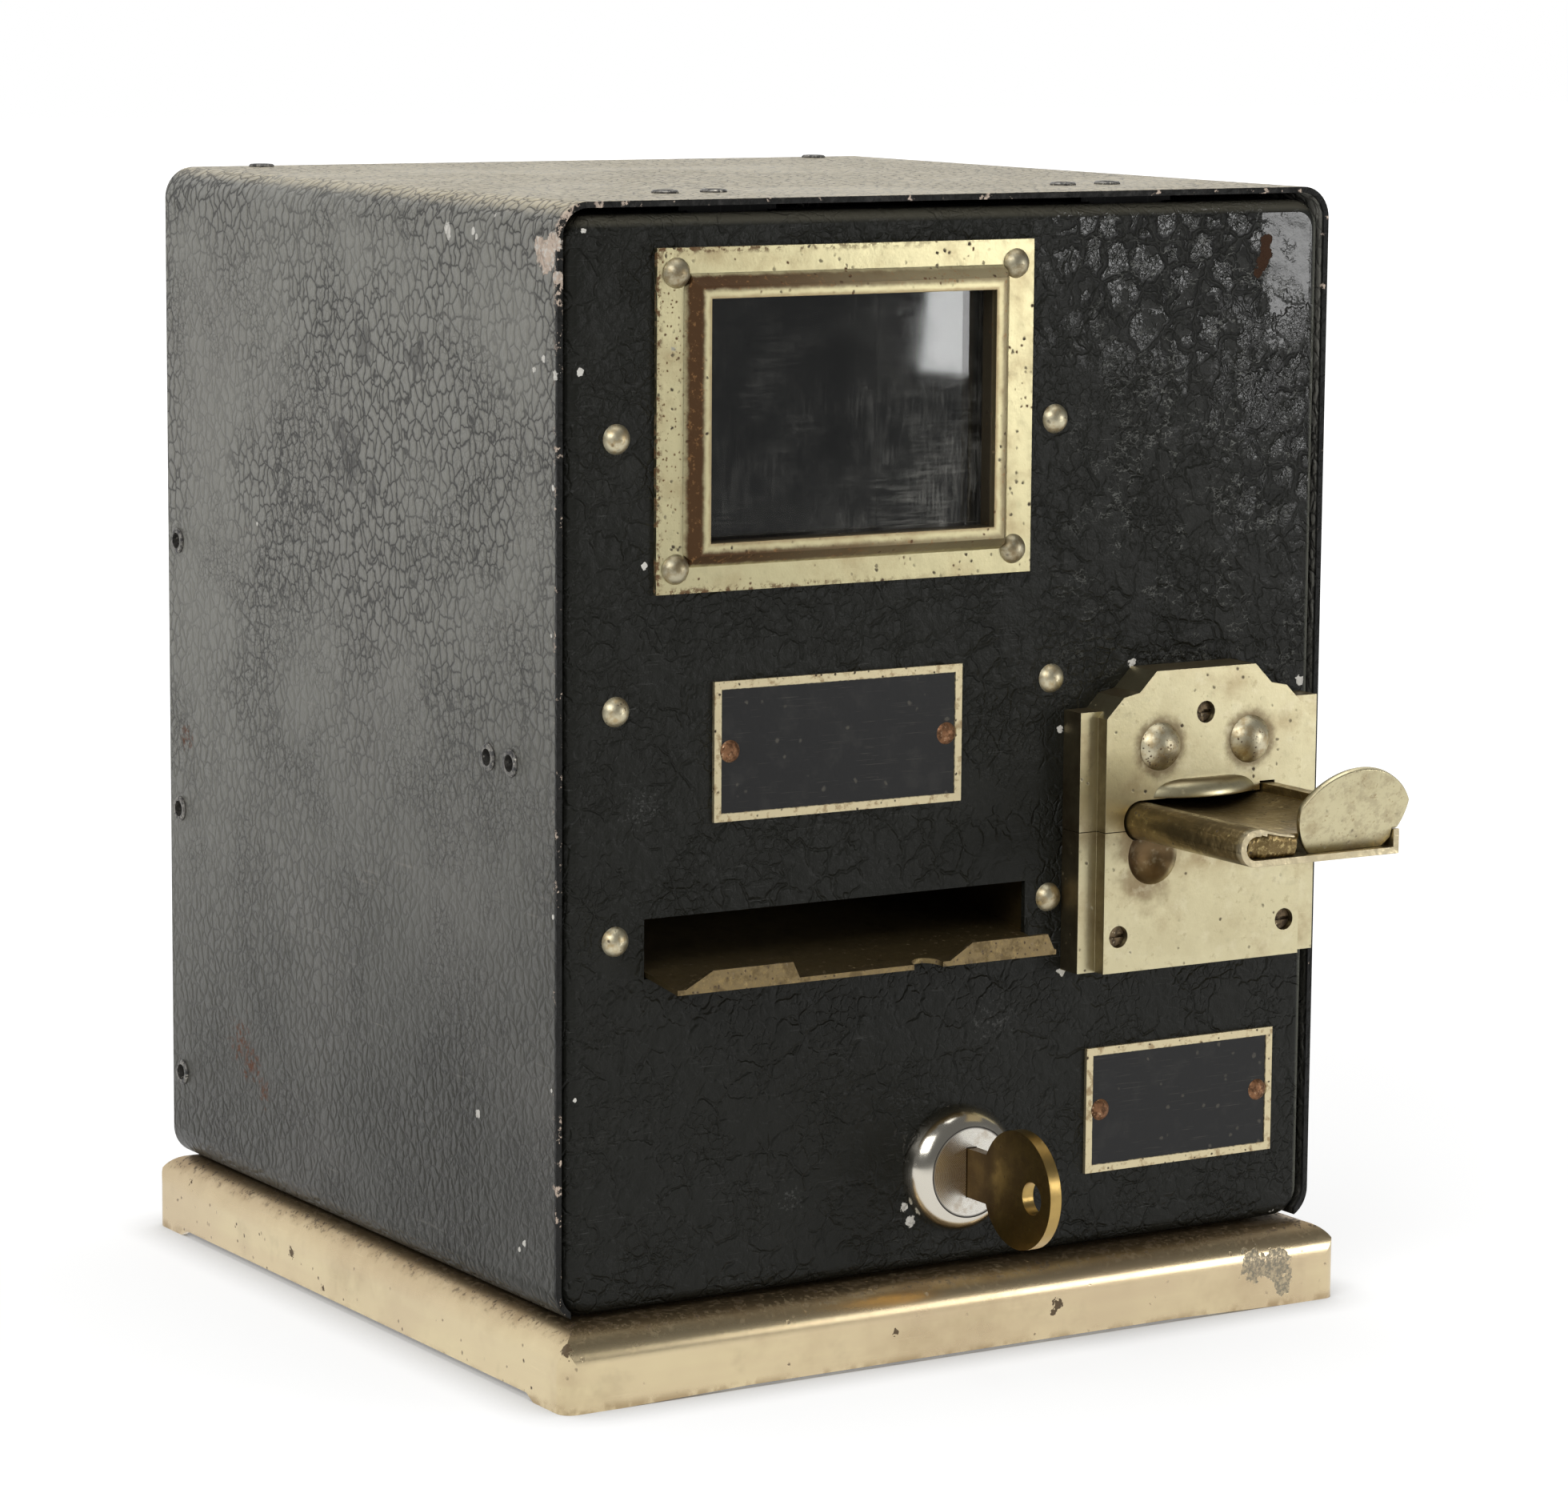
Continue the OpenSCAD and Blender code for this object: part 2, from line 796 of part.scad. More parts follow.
// Pan shape of the door, drawn in by inset, from its rounded front back to depth y1
module pan_form(inset, y1) {
    corner = door_r - inset;
    edge = door_edge_r - inset;
    hull()
        for (sx = [-1, 1], sz = [-1, 1])
            translate([sx * (door_w / 2 - door_r), 0, door_mid + sz * (door_h / 2 - door_r)])
                rotate([-90, 0, 0]) {
                    translate([0, 0, inset + edge])
                        rotate_extrude($fn = hull_fn)
                            intersection() {
                                translate([corner - edge, 0])
                                    circle(edge, $fn = hull_fn);
                                translate([0, -edge])
                                    square([corner + eps, 2 * edge]);
                            }
                    translate([0, 0, y1 - eps])
                        cylinder(h = eps, r = corner, $fn = hull_fn);
                }
}

function frame_screw_places() = [
    for (sx = [-1, 1], sz = [-1, 1])
        [win_x + sx * (frame_w / 2 - screw_in_x), win_z + sz * (frame_h / 2 - screw_in_z)]
];

function rivet_places() = [
    for (x = [hopper_l - sheet - rivet_out, hopper_r + rivet_right], z = rivet_z) [x, z]
];

function plate_rivet_places(x, z, size) = [
    for (s = [-1, 1]) [x + s * (size[0] / 2 - plate_rivet_in), z]
];

function head_screw_places() = [
    [head_x - head_screw_x, head_screw_z], [head_x + head_screw_x, head_screw_z], [head_x, head_top_screw_z]
];

plate_shank_r = 1;
head_shank_r = 1.4;

module door_holes(places, r) {
    for (p = places)
        rod(p, -eps, sheet + eps, r + fit);
}

module door_pan() {
    color([0.09, 0.09, 0.09])
        at_front()
            difference() {
                pan_form(0, door_depth);
                pan_form(sheet, door_depth + 2 * eps);
                slab(-eps, sheet + eps) {
                    translate([win_x, win_z])
                        square([door_open_w, door_open_h], center = true);
                    translate([slot_x - slot_w / 2, slot_z])
                        square([slot_w, slot_h]);
                    translate([head_x - head_insert_half - air, head_insert_z[0] - air])
                        square([2 * (head_insert_half + air), head_insert_z[1] - head_insert_z[0] + 2 * air]);
                }
                rod([lock_x, lock_z], -eps, sheet + eps, barrel_r + fit);
                door_holes(frame_screw_places(), shank_r);
                door_holes(rivet_places(), shank_r);
                door_holes(plate_rivet_places(price_x, price_z, price_size), plate_shank_r);
                door_holes(plate_rivet_places(maker_x, maker_z, maker_size), plate_shank_r);
                door_holes([[head_x, head_top_screw_z]], head_shank_r);
                for (s = [-1, 1])
                    translate([s * hinge_x, 0, 0])
                        box(-hinge_w / 2 - 1, hinge_w / 2 + 1, pivot_y, door_depth + eps, pivot_z, door_top + eps);
            }
}

// Two ears hung from the door's top flange and joined by a strip behind its front
module door_hinge(s) {
    low = pivot_z - eye_r - 2.4;
    strip_top = pivot_z - eye_r - 0.6;
    flange_z = door_top - sheet;
    ear_back = pivot_y + eye_r + 2;
    color([0.5, 0.5, 0.48])
        at_front()
            difference() {
                translate([s * hinge_x, 0, 0]) {
                    box(-ear_x - ear_t_hinge, ear_x + ear_t_hinge, sheet, sheet + 1, low, strip_top);
                    for (t = [-1, 1]) {
                        x0 = t > 0 ? ear_x : -ear_x - ear_t_hinge;
                        tab0 = t > 0 ? ear_x : -ear_x - 7;
                        box(x0, x0 + ear_t_hinge, sheet + 0.5, ear_back, low, pivot_z + eye_r - 0.3);
                        box(x0, x0 + ear_t_hinge, door_edge_r, ear_back, low, flange_z);
                        box(tab0, tab0 + 7, door_edge_r, ear_back, flange_z - 1, flange_z);
                    }
                }
                rod_x([pivot_y, pivot_z], -cab_w, cab_w, hinge_pin_r);
            }
}

module door_hinge_left() { door_hinge(-1); }

module door_hinge_right() { door_hinge(1); }

module hinge_pins() {
    reach = ear_x + ear_t_hinge + 0.6;
    color([0.62, 0.62, 0.6])
        at_front()
            for (s = [-1, 1])
                rod_x([pivot_y, pivot_z], s * hinge_x - reach, s * hinge_x + reach, hinge_pin_r);
}

// Four-sided frustum between depths y0 and y1, with sizes s0 and s1 there
module frustum(y0, s0, y1, s1) {
    intersection() {
        translate([0, 0, -s0[1]])
            linear_extrude(height = 2 * s0[1])
                polygon([[-s0[0] / 2, y0], [s0[0] / 2, y0], [s1[0] / 2, y1], [-s1[0] / 2, y1]]);
        bar(-s0[0], s0[0])
            polygon([[y0, -s0[1] / 2], [y0, s0[1] / 2], [y1, s1[1] / 2], [y1, -s1[1] / 2]]);
    }
}

module window_frame() {
    foot = [frame_w - 2 * flange_side, frame_h - 2 * flange_top];
    ridge = [foot[0] - 2 * slope_w, foot[1] - 2 * slope_w];
    open = [frame_open_w, frame_open_h];
    wall = [2 * frame_t, 2 * frame_t];
    color([0.76, 0.70, 0.55])
        at_front()
            translate([win_x, 0, win_z])
                difference() {
                    union() {
                        slab(-frame_t, 0)
                            square([frame_w, frame_h], center = true);
                        frustum(-frame_t, foot, -frame_face, ridge);
                        slab(-frame_face + frame_t, sheet)
                            square(open + wall, center = true);
                    }
                    difference() {
                        frustum(eps, foot - wall / 2 + [eps, eps], -ridge_h, ridge - wall / 2);
                        slab(-frame_face, sheet + eps)
                            square(open + wall, center = true);
                    }
                    slab(-frame_face - eps, sheet + eps)
                        square(open, center = true);
                    translate([-win_x, 0, -win_z])
                        for (p = frame_screw_places()) {
                            rod(p, -frame_t - eps, eps, shank_r + fit);
                            rod(p, -frame_face - eps, -frame_t, rivet_r + 0.15);
                        }
                }
}

module window_glass() {
    color([0.1, 0.11, 0.11, 0.5])
        at_front()
            slab(sheet, glass_back)
                translate([win_x, win_z])
                    square([frame_open_w + 2 * (glass_lap + frame_t), frame_open_h + 2 * (glass_lap + frame_t)],
                           center = true);
}

// Frame behind the glass: rails on the glass and two straps that reach the screws
module glass_retainer() {
    strap_w = 7;
    rail_h = 5;
    strap_x = frame_w / 2 - screw_in_x;
    strap_z = frame_h - 2 * screw_in_z + 7;
    outer_h = frame_open_h + rail_h;
    color([0.5, 0.5, 0.48])
        at_front()
            difference() {
                slab(glass_back, glass_back + retainer_t)
                    translate([win_x, win_z])
                        difference() {
                            union() {
                                square([2 * strap_x, outer_h], center = true);
                                for (s = [-1, 1])
                                    translate([s * strap_x, 0])
                                        square([strap_w, strap_z], center = true);
                            }
                            square([frame_open_w + 1, frame_open_h - 1], center = true);
                        }
                for (p = frame_screw_places())
                    rod(p, glass_back - eps, glass_back + 2 * eps, shank_r + fit);
            }
}

module frame_screws() {
    color([0.80, 0.77, 0.68])
        at_front()
            for (p = frame_screw_places())
                dome_fastener(p, -frame_t, glass_back + retainer_t + nut_t + 1, rivet_r, rivet_h, shank_r);
}

module frame_nuts() {
    y0 = glass_back + retainer_t;
    color([0.6, 0.6, 0.58])
        at_front()
            for (p = frame_screw_places())
                difference() {
                    translate([p[0], y0, p[1]])
                        rotate([-90, 0, 0])
                            cylinder(h = nut_t, r = shank_r * 2, $fn = 6);
                    rod(p, y0 - eps, y0 + nut_t + eps, shank_r + fit);
                }
}

// Name plate with a raised border
module badge(x, z, size) {
    border = [2 * plate_border, 2 * plate_border];
    difference() {
        translate([x, 0, z])
            difference() {
                slab(-plate_t, 0)
                    square(size, center = true);
                slab(-plate_t - eps, -plate_t + 0.2)
                    square(size - border, center = true);
            }
        for (p = plate_rivet_places(x, z, size)) {
            rod(p, -plate_t - eps, eps, plate_shank_r + fit);
            rod(p, -plate_t - eps, 0.2 - plate_t, plate_rivet_r + 0.15);
        }
    }
}

module badge_rivets(x, z, size) {
    for (p = plate_rivet_places(x, z, size)) {
        dome_fastener(p, -plate_t + 0.2, sheet, plate_rivet_r, 1, plate_shank_r);
        tail(p, sheet, plate_shank_r + 0.6, 0.5);
    }
}

module price_plate() {
    color([0.1, 0.1, 0.1])
        at_front()
            badge(price_x, price_z, price_size);
}

module price_rivets() {
    color([0.42, 0.25, 0.14])
        at_front()
            badge_rivets(price_x, price_z, price_size);
}

module maker_plate() {
    color([0.1, 0.1, 0.1])
        at_front()
            badge(maker_x, maker_z, maker_size);
}

module maker_rivets() {
    color([0.42, 0.25, 0.14])
        at_front()
            badge_rivets(maker_x, maker_z, maker_size);
}

module chassis_rivets() {
    color([0.80, 0.77, 0.68])
        at_front()
            for (p = rivet_places()) {
                dome_fastener(p, 0, 2 * sheet, rivet_r, rivet_h, shank_r);
                tail(p, 2 * sheet, shank_r + 0.8, 0.8);
            }
}

// Hopper, drum and tray

// Side plate of the hopper with its riveted flange; x0 is its inner face and s points outwards
module hopper_side(x0, s) {
    x1 = x0 + s * sheet;
    x2 = x1 + s * hopper_flange;
    low = slot_z - 4;
    flange_top_z = rivet_z[len(rivet_z) - 1] + 11;
    color([0.52, 0.52, 0.5])
        at_front()
            difference() {
                union() {
                    box(min(x0, x1), max(x0, x1), sheet, hopper_d, low, hopper_top);
                    box(min(x0, x2), max(x0, x2), sheet, 2 * sheet, low, flange_top_z);
                }
                for (p = rivet_places())
                    rod(p, 0, 3 * sheet, shank_r + fit);
                rod_x([drum_y, drum_z], min(x0, x1) - eps, max(x0, x1) + eps, shaft_r + 2 + fit);
            }
}

module hopper_left() { hopper_side(hopper_l, -1); }

module hopper_right() { hopper_side(hopper_r, 1); }

module hopper_back() {
    color([0.52, 0.52, 0.5])
        at_front()
            box(hopper_l, hopper_r, hopper_back_y, hopper_back_y + sheet, drum_z, hopper_top);
}

// Slope that leads the cigarettes from the door down to the drum
module hopper_floor() {
    y0 = 2 * sheet + 1;
    y1 = drum_y - drum_r;
    z1 = drum_z + drum_r * 0.6;
    z0 = z1 + (y1 - y0);
    color([0.52, 0.52, 0.5])
        at_front()
            bar(hopper_l, hopper_r)
                polygon([[y0, z0], [y0, z0 - sheet * 1.4], [y1, z1 - sheet * 1.4], [y1, z1]]);
}

// Y-Z outline of the tray's sheet between two places on its floor, standing up by rise
module tray_strip(y0, z0, y1, z1, rise = 0) {
    polygon([[y0, z0 - tray_t], [y0, z0 + rise], [y1, z1 + rise], [y1, z1 - tray_t]]);
}

// Sheet tray: a sloped floor with side walls inside and two bent-up lips in front
module delivery_tray() {
    inner = hopper_r - hopper_l;
    x_mid = (hopper_l + hopper_r) / 2;
    wall_h = slot_h - tray_t;
    front_z = tray_z - tray_slope * tray_out;
    back_z = tray_z + tray_slope * tray_back;
    seat = sheet + 0.2;
    seat_z = tray_z + tray_slope * seat;
    end = tray_w / 2;
    color([0.55, 0.46, 0.30])
        at_front()
            translate([x_mid, 0, 0]) {
                difference() {
                    bar(-end, end)
                        tray_strip(-tray_out, front_z, seat, seat_z);
                    translate([notch_mid(), -tray_out, front_z - 2 * eps])
                        cylinder(h = 4 * eps, r = notch_r);
                }
                bar(-inner / 2, inner / 2)
                    tray_strip(seat, seat_z, tray_back, back_z);
                for (s = [-1, 1])
                    bar(s > 0 ? inner / 2 - tray_t : -inner / 2, s > 0 ? inner / 2 : -inner / 2 + tray_t)
                        tray_strip(seat, seat_z, tray_back, back_z, wall_h);
                slab(-tray_out, -tray_out + tray_t) {
                    translate([-end, front_z - tray_t])
                        polygon([[0, 0], [lip_left, 0], [lip_left - 2, tray_t + lip_h], [8, tray_t + lip_h]]);
                    translate([end - lip_right, front_z - tray_t])
                        polygon([[0, 0], [lip_right, 0], [lip_right - 2, tray_t + lip_h], [7, tray_t + lip_h]]);
                }
            }
}

// Middle of the finger notch, beside the right lip
function notch_mid() = tray_w / 2 - lip_right - notch_r;

module drum_bush(x0, s) {
    x1 = x0 + s * sheet;
    x2 = x1 + s * 1.5;
    color([0.62, 0.52, 0.3])
        at_front()
            difference() {
                union() {
                    rod_x([drum_y, drum_z], min(x0, x2), max(x0, x2), shaft_r + 2);
                    rod_x([drum_y, drum_z], min(x1, x2), max(x1, x2), shaft_r + 4.5);
                }
                rod_x([drum_y, drum_z], min(x0, x2) - eps, max(x0, x2) + eps, shaft_r + run);
            }
}

module drum_bush_left() { drum_bush(hopper_l, -1); }

module drum_bush_right() { drum_bush(hopper_r, 1); }

module vend_drum() {
    end_gap = 1;
    color([0.62, 0.62, 0.6])
        at_front()
            difference() {
                rod_x([drum_y, drum_z], hopper_l + end_gap, hopper_r - end_gap, drum_r);
                for (i = [0 : flutes - 1])
                    translate([0, drum_y, drum_z])
                        rotate([i * 360 / flutes, 0, 0])
                            rod_x([0, drum_r - flute_r * 0.55], hopper_l, hopper_r, flute_r);
                rod_x([drum_y, drum_z], hopper_l, hopper_r, shaft_r);
            }
}

module drum_shaft() {
    color([0.6, 0.6, 0.6])
        at_front()
            rod_x([drum_y, drum_z], shaft_l, shaft_end, shaft_r);
}

// Half widths of a gear tooth at its root, pitch line and tip, and its depths
tooth_root = 0.28 * pitch;
tooth_mid = 0.2 * pitch;
tooth_tip = 0.1 * pitch;
tooth_up = 0.9 * gear_m;
tooth_down = 1.2 * gear_m;

module drive_pinion() {
    root = pitch_r - tooth_down;
    color([0.62, 0.52, 0.3])
        at_front()
            translate([gear_x, drum_y, drum_z])
                rotate([90, 0, 90])
                    difference() {
                        linear_extrude(height = gear_w)
                            union() {
                                circle(root + 0.1 * gear_m);
                                for (i = [0 : pinion_teeth - 1])
                                    rotate(i * 360 / pinion_teeth - 90)
                                        polygon([
                                            [root - gear_m, -tooth_root], [root, -tooth_root],
                                            [pitch_r, -tooth_mid],
                                            [pitch_r + tooth_up, -tooth_tip], [pitch_r + tooth_up, tooth_tip],
                                            [pitch_r, tooth_mid], [root, tooth_root], [root - gear_m, tooth_root]
                                        ]);
                            }
                        translate([0, 0, -eps])
                            cylinder(h = gear_w + 2 * eps, r = shaft_r);
                    }
}

// Coin head

// Front plate outline with stepped, chamfered shoulders
module head_outline() {
    half = head_w / 2;
    shoulder = half - chamfer;
    top = shoulder - step_w;
    z1 = head_side_h;
    z2 = z1 + chamfer;
    z3 = z2 + 0.8;
    z4 = z3 + chamfer;
    translate([head_x, head_z])
        polygon([
            [-half, 0], [half, 0], [half, z1], [shoulder, z2], [top, z3], [top - chamfer, z4],
            [chamfer - top, z4], [-top, z3], [-shoulder, z2], [-half, z1]
        ]);
}

module slide_gap() {
    r = slide_h / 2;
    translate([slide_l + r, slide_z + r])
        circle(r + air);
    translate([slide_l + r, slide_z - air])
        square([slide_w - r + air, slide_h + 2 * air]);
    translate([rail_x - air, slide_z])
        square([rail_w + 2 * air, slide_h + rail_up + air]);
}

module head_casting() {
    difference() {
        union() {
            slab(-head_t, 0)
                head_outline();
            slab(-ear_t, 0)
                translate([head_x - head_w / 2 - ear_left, head_z])
                    square([head_w + ear_left + ear_right, ear_h]);
            slab(-eps, sheet)
                translate([head_x - head_insert_half, head_insert_z[0]])
                    square([2 * head_insert_half, head_insert_z[1] - head_insert_z[0]]);
            intersection() {
                translate([head_x, arch_r - head_t - arch_out, slide_z + slide_h + 0.7])
                    rotate_extrude()
                        intersection() {
                            union() {
                                square([arch_r - arch_h, arch_h]);
                                translate([arch_r - arch_h, 0])
                                    circle(arch_h);
                            }
                            square([arch_r, arch_h]);
                        }
                box(head_x - head_w / 2, head_x + head_w / 2, -head_t - arch_out, -ear_t, head_z, cab_h);
            }
        }
        slab(head_wall - head_t, sheet + eps)
            translate([head_x - cavity_half, cavity_z[0]])
                square([2 * cavity_half, cavity_z[1] - cavity_z[0]]);
        slab(-head_t - arch_out - eps, sheet + eps)
            slide_gap();
        translate([head_x - 12.7, -head_t - 4.5, slide_z - 3.5])
            sphere(7.5);
        for (p = head_screw_places()) {
            rod(p, -head_t - eps, -head_t + 2.8, 2.25);
            rod(p, -head_t, sheet + eps, head_shank_r + fit);
        }
        for (s = [-1, 1])
            rod([head_x + s * dome_x, dome_z], -head_t - eps, sheet + eps, 2 + fit);
    }
}

module coin_head_upper() {
    color([0.76, 0.70, 0.57])
        at_front()
            intersection() {
                head_casting();
                box(0, cab_w, -cab_d, cab_d, seam_z + seam_gap, cab_h);
            }
}

module coin_head_lower() {
    color([0.76, 0.70, 0.57])
        at_front()
            intersection() {
                head_casting();
                box(0, cab_w, -cab_d, cab_d, 0, seam_z);
            }
}

module coin_rivets() {
    color([0.76, 0.70, 0.57])
        at_front()
            for (s = [-1, 1]) {
                p = [head_x + s * dome_x, dome_z];
                dome_fastener(p, -head_t, clamp_back, dome_r, 3, 2);
                tail(p, clamp_back, 3, 1);
            }
}

module coin_screws() {
    color([0.4, 0.38, 0.34])
        at_front()
            for (p = head_screw_places())
                difference() {
                    union() {
                        rod(p, -head_t + 1.2, -head_t + 2.8, 2.1);
                        rod(p, -head_t + 1.2, clamp_back - 0.2, head_shank_r);
                    }
                    box(p[0] - 3, p[0] + 3, -head_t, -head_t + 1.9, p[1] - 0.35, p[1] + 0.35);
                }
}

// Plate behind the door that the coin head is screwed to
module head_clamp() {
    low = head_z + 2.5;
    high = head_top_screw_z + 3.6;
    rack_gap = rack_floor - air;
    color([0.5, 0.5, 0.48])
        at_front()
            difference() {
                box(head_x - clamp_half, head_x + clamp_half, sheet, clamp_back, low, high);
                slab(0, clamp_back + eps) {
                    translate([head_x - cavity_half, rack_gap])
                        square([2 * cavity_half, cavity_z[1] - rack_gap]);
                    translate([gear_x + gear_w + 6, cavity_z[0] + 6])
                        square([head_x + cavity_half - gear_x - gear_w - 6, 10]);
                }
                for (p = head_screw_places())
                    rod(p, 0, clamp_back + eps, head_shank_r + fit);
                for (s = [-1, 1])
                    rod([head_x + s * dome_x, dome_z], 0, clamp_back + eps, 2 + fit);
            }
}

// Channel that carries the rack behind the clamp plate
module rack_guide() {
    x0 = gear_x - air - guide_wall;
    x1 = gear_x + gear_w + air + guide_wall;
    color([0.5, 0.5, 0.48])
        at_front()
            slab(clamp_back, drum_y + 14)
                difference() {
                    translate([x0, rack_floor - air - guide_wall])
                        square([x1 - x0, guide_wall + 2]);
                    translate([gear_x - air, rack_floor - air])
                        square([gear_w + 2 * air, 10]);
                }
}

// Helix of round wire along Y, closed at both ends
spring_turns = 9;
spring_r = 2.6;
spring_wire = 0.5;
spring_sides = 6;
spring_steps = 10;
spring_x = gear_x - air - guide_wall - spring_r - 1.2;
spring_z = rack_floor - 3.3;

function helix_point(i, j, len) =
    let (
        n = spring_turns * spring_steps,
        a = 360 * i / spring_steps,
        b = 360 * j / spring_sides,
        r = spring_r + spring_wire * cos(b)
    ) [r * cos(a), len * i / n + spring_wire * sin(b), r * sin(a)];

module return_spring() {
    n = spring_turns * spring_steps;
    len = drum_y - clamp_back - 2 * spring_wire - 0.6;
    last = n * spring_sides;
    points = [for (i = [0 : n], j = [0 : spring_sides - 1]) helix_point(i, j, len)];
    walls = [
        for (i = [0 : n - 1], j = [0 : spring_sides - 1])
            let (k = (j + 1) % spring_sides, p = i * spring_sides, q = p + spring_sides)
                each [[p + j, p + k, q + j], [p + k, q + k, q + j]]
    ];
    ends = [
        for (j = [1 : spring_sides - 2])
            each [[0, j + 1, j], [last, last + j, last + j + 1]]
    ];
    color([0.55, 0.55, 0.53])
        at_front()
            translate([spring_x, clamp_back + spring_wire + 0.3, spring_z])
                polyhedron(points, concat(walls, ends));
}

module coin_chute() {
    x1 = head_x + clamp_half - 3;
    x0 = x1 - chute_w;
    y1 = clamp_back + chute_d;
    top = slide_z - 8.5;
    color([0.42, 0.43, 0.42])
        at_front()
            difference() {
                box(x0, x1, clamp_back, y1, chute_z, top);
                box(x0 + box_t, x1 - box_t, clamp_back + box_t, y1 - box_t, chute_z - eps, top + eps);
            }
}

// Coin slide

module slide_profile() {
    r = slide_h / 2;
    fold = 1.2;
    dish_l = slide_l + r + fold;
    dish_w = rail_x - fold - dish_l;
    dish_r = (dish_w * dish_w / 4 + dish * dish) / (2 * dish);
    top = slide_z + slide_h;
    intersection() {
        translate([slide_l + r, slide_z + r])
            difference() {
                circle(r);
                circle(r - slide_t);
            }
        translate([slide_l, slide_z])
            square([r, slide_h]);
    }
    translate([slide_l + r, slide_z])
        square([slide_w - r, slide_t]);
    translate([slide_l + slide_w - slide_t, slide_z])
        square([slide_t, slide_t + lip_up]);
    translate([slide_l + r, top - slide_t])
        square([fold, slide_t]);
    translate([rail_x - fold, top - slide_t])
        square([fold + rail_w / 2, slide_t]);
    intersection() {
        translate([dish_l + dish_w / 2, top - dish + dish_r])
            difference() {
                circle(dish_r + slide_t - 0.3);
                circle(dish_r);
            }
        translate([dish_l - fold / 2, slide_z + slide_t])
            square([dish_w + fold, slide_h - slide_t]);
    }
    translate([rail_x, top - slide_t - 0.6])
        square([rail_w, rail_up + slide_t + 0.6]);
}

thumb_t = 1.4;
thumb_y = slide_front + 1.6;

module coin_slide() {
    color([0.55, 0.48, 0.33])
        at_front()
            difference() {
                slab(slide_front, slide_back)
                    slide_profile();
                box(thumb_x - thumb_w / 2 - air, lip_in, slide_front - eps, thumb_y + thumb_t + air,
                    slide_z + slide_t, slide_z + 2 * slide_h);
            }
}

// Oval tab that leans forward, standing on the slide's lower sheet beside its turned-up lip
module thumb_tab() {
    foot = slide_z + slide_t;
    color([0.70, 0.63, 0.48])
        at_front()
            difference() {
                translate([thumb_x, thumb_y, foot])
                    rotate([thumb_lean, 0, 0])
                        slab(0, thumb_t)
                            intersection() {
                                translate([0, thumb_h - thumb_top_r])
                                    circle(thumb_top_r);
                                translate([0, thumb_h * 0.55])
                                    circle(thumb_w / 2);
                            }
                box(thumb_x - thumb_w, thumb_x + thumb_w, slide_front - thumb_h, slide_front + thumb_h,
                    foot - thumb_h, foot);
                box(lip_in - 0.15, lip_in + thumb_w, slide_front - eps, slide_front + thumb_h,
                    foot - eps, foot + lip_up + 0.2);
            }
}

module drive_rack() {
    root = rack_line - tooth_down;
    first = -floor(slide_travel / pitch) - 2;
    y0 = head_wall - head_t + 0.5;
    y1 = drum_y + 2 * pitch;
    lug_x = spring_x - spring_r - spring_wire;
    color([0.6, 0.6, 0.58])
        at_front() {
            bar(gear_x, gear_x + gear_w) {
                translate([y0, rack_floor])
                    square([y1 - y0, slide_z - rack_floor]);
                translate([slide_back + 2, rack_floor])
                    square([y1 - slide_back - 2, root - rack_floor]);
                for (i = [first : 1])
                    translate([drum_y + (i + 0.5) * pitch, root])
                        polygon([
                            [-tooth_root, -0.3], [tooth_root, -0.3], [tooth_mid, tooth_down],
                            [tooth_tip, tooth_down + tooth_up], [-tooth_tip, tooth_down + tooth_up],
                            [-tooth_mid, tooth_down]
                        ]);
            }
            box(lug_x, gear_x, drum_y, drum_y + 2, slide_z - 1.6, slide_z);
            box(lug_x, spring_x + 1, drum_y, drum_y + 2, spring_z - spring_r, slide_z);
        }
}

// Lock and key

module lock_barrel() {
    color([0.82, 0.82, 0.82])
        at_front()
            translate([lock_x, 0, lock_z])
                rotate([90, 0, 0])
                    difference() {
                        union() {
                            rotate_extrude()
                                intersection() {
                                    union() {
                                        translate([scalp_r - scalp_dome, 0])
                                            circle(scalp_dome);
                                        square([scalp_r - scalp_dome, scalp_dome]);
                                    }
                                    square([scalp_r, scalp_dome]);
                                }
                            translate([0, 0, -barrel_len])
                                cylinder(h = barrel_len + eps, r = barrel_r);
                        }
                        translate([0, 0, -barrel_len - eps])
                            cylinder(h = barrel_len + scalp_dome + 2 * eps, r = plug_r + run);
                    }
}

module lock_nut() {
    color([0.62, 0.62, 0.6])
        at_front()
            difference() {
                translate([lock_x, sheet, lock_z])
                    rotate([-90, 0, 0])
                        cylinder(h = lock_nut_t, r = barrel_r * 1.36, $fn = 6);
                rod([lock_x, lock_z], 0, sheet + lock_nut_t + eps, barrel_r + fit);
            }
}

module lock_plug() {
    gap = 0.15;
    color([0.84, 0.83, 0.8])
        at_front()
            difference() {
                union() {
                    rod([lock_x, lock_z], -plug_face, cam_y - 0.2, plug_r);
                    rod([lock_x, lock_z], 0, cam_y + cam_t + 3.4, tail_r);
                }
                box(lock_x - blade_t / 2 - gap, lock_x + blade_t / 2 + gap,
                    -plug_face - eps, blade_len - plug_face + 0.6,
                    lock_z - blade_h / 2 - gap, lock_z + blade_h / 2 + gap);
            }
}

module lock_cam() {
    half = 5;
    color([0.55, 0.55, 0.53])
        at_front()
            translate([lock_x, 0, lock_z])
                difference() {
                    slab(cam_y, cam_y + cam_t) {
                        circle(half + 2);
                        translate([0, -half])
                            square([cam_reach, 2 * half]);
                    }
                    rod([0, 0], cam_y - eps, cam_y + cam_t + eps, tail_r + fit);
                }
}

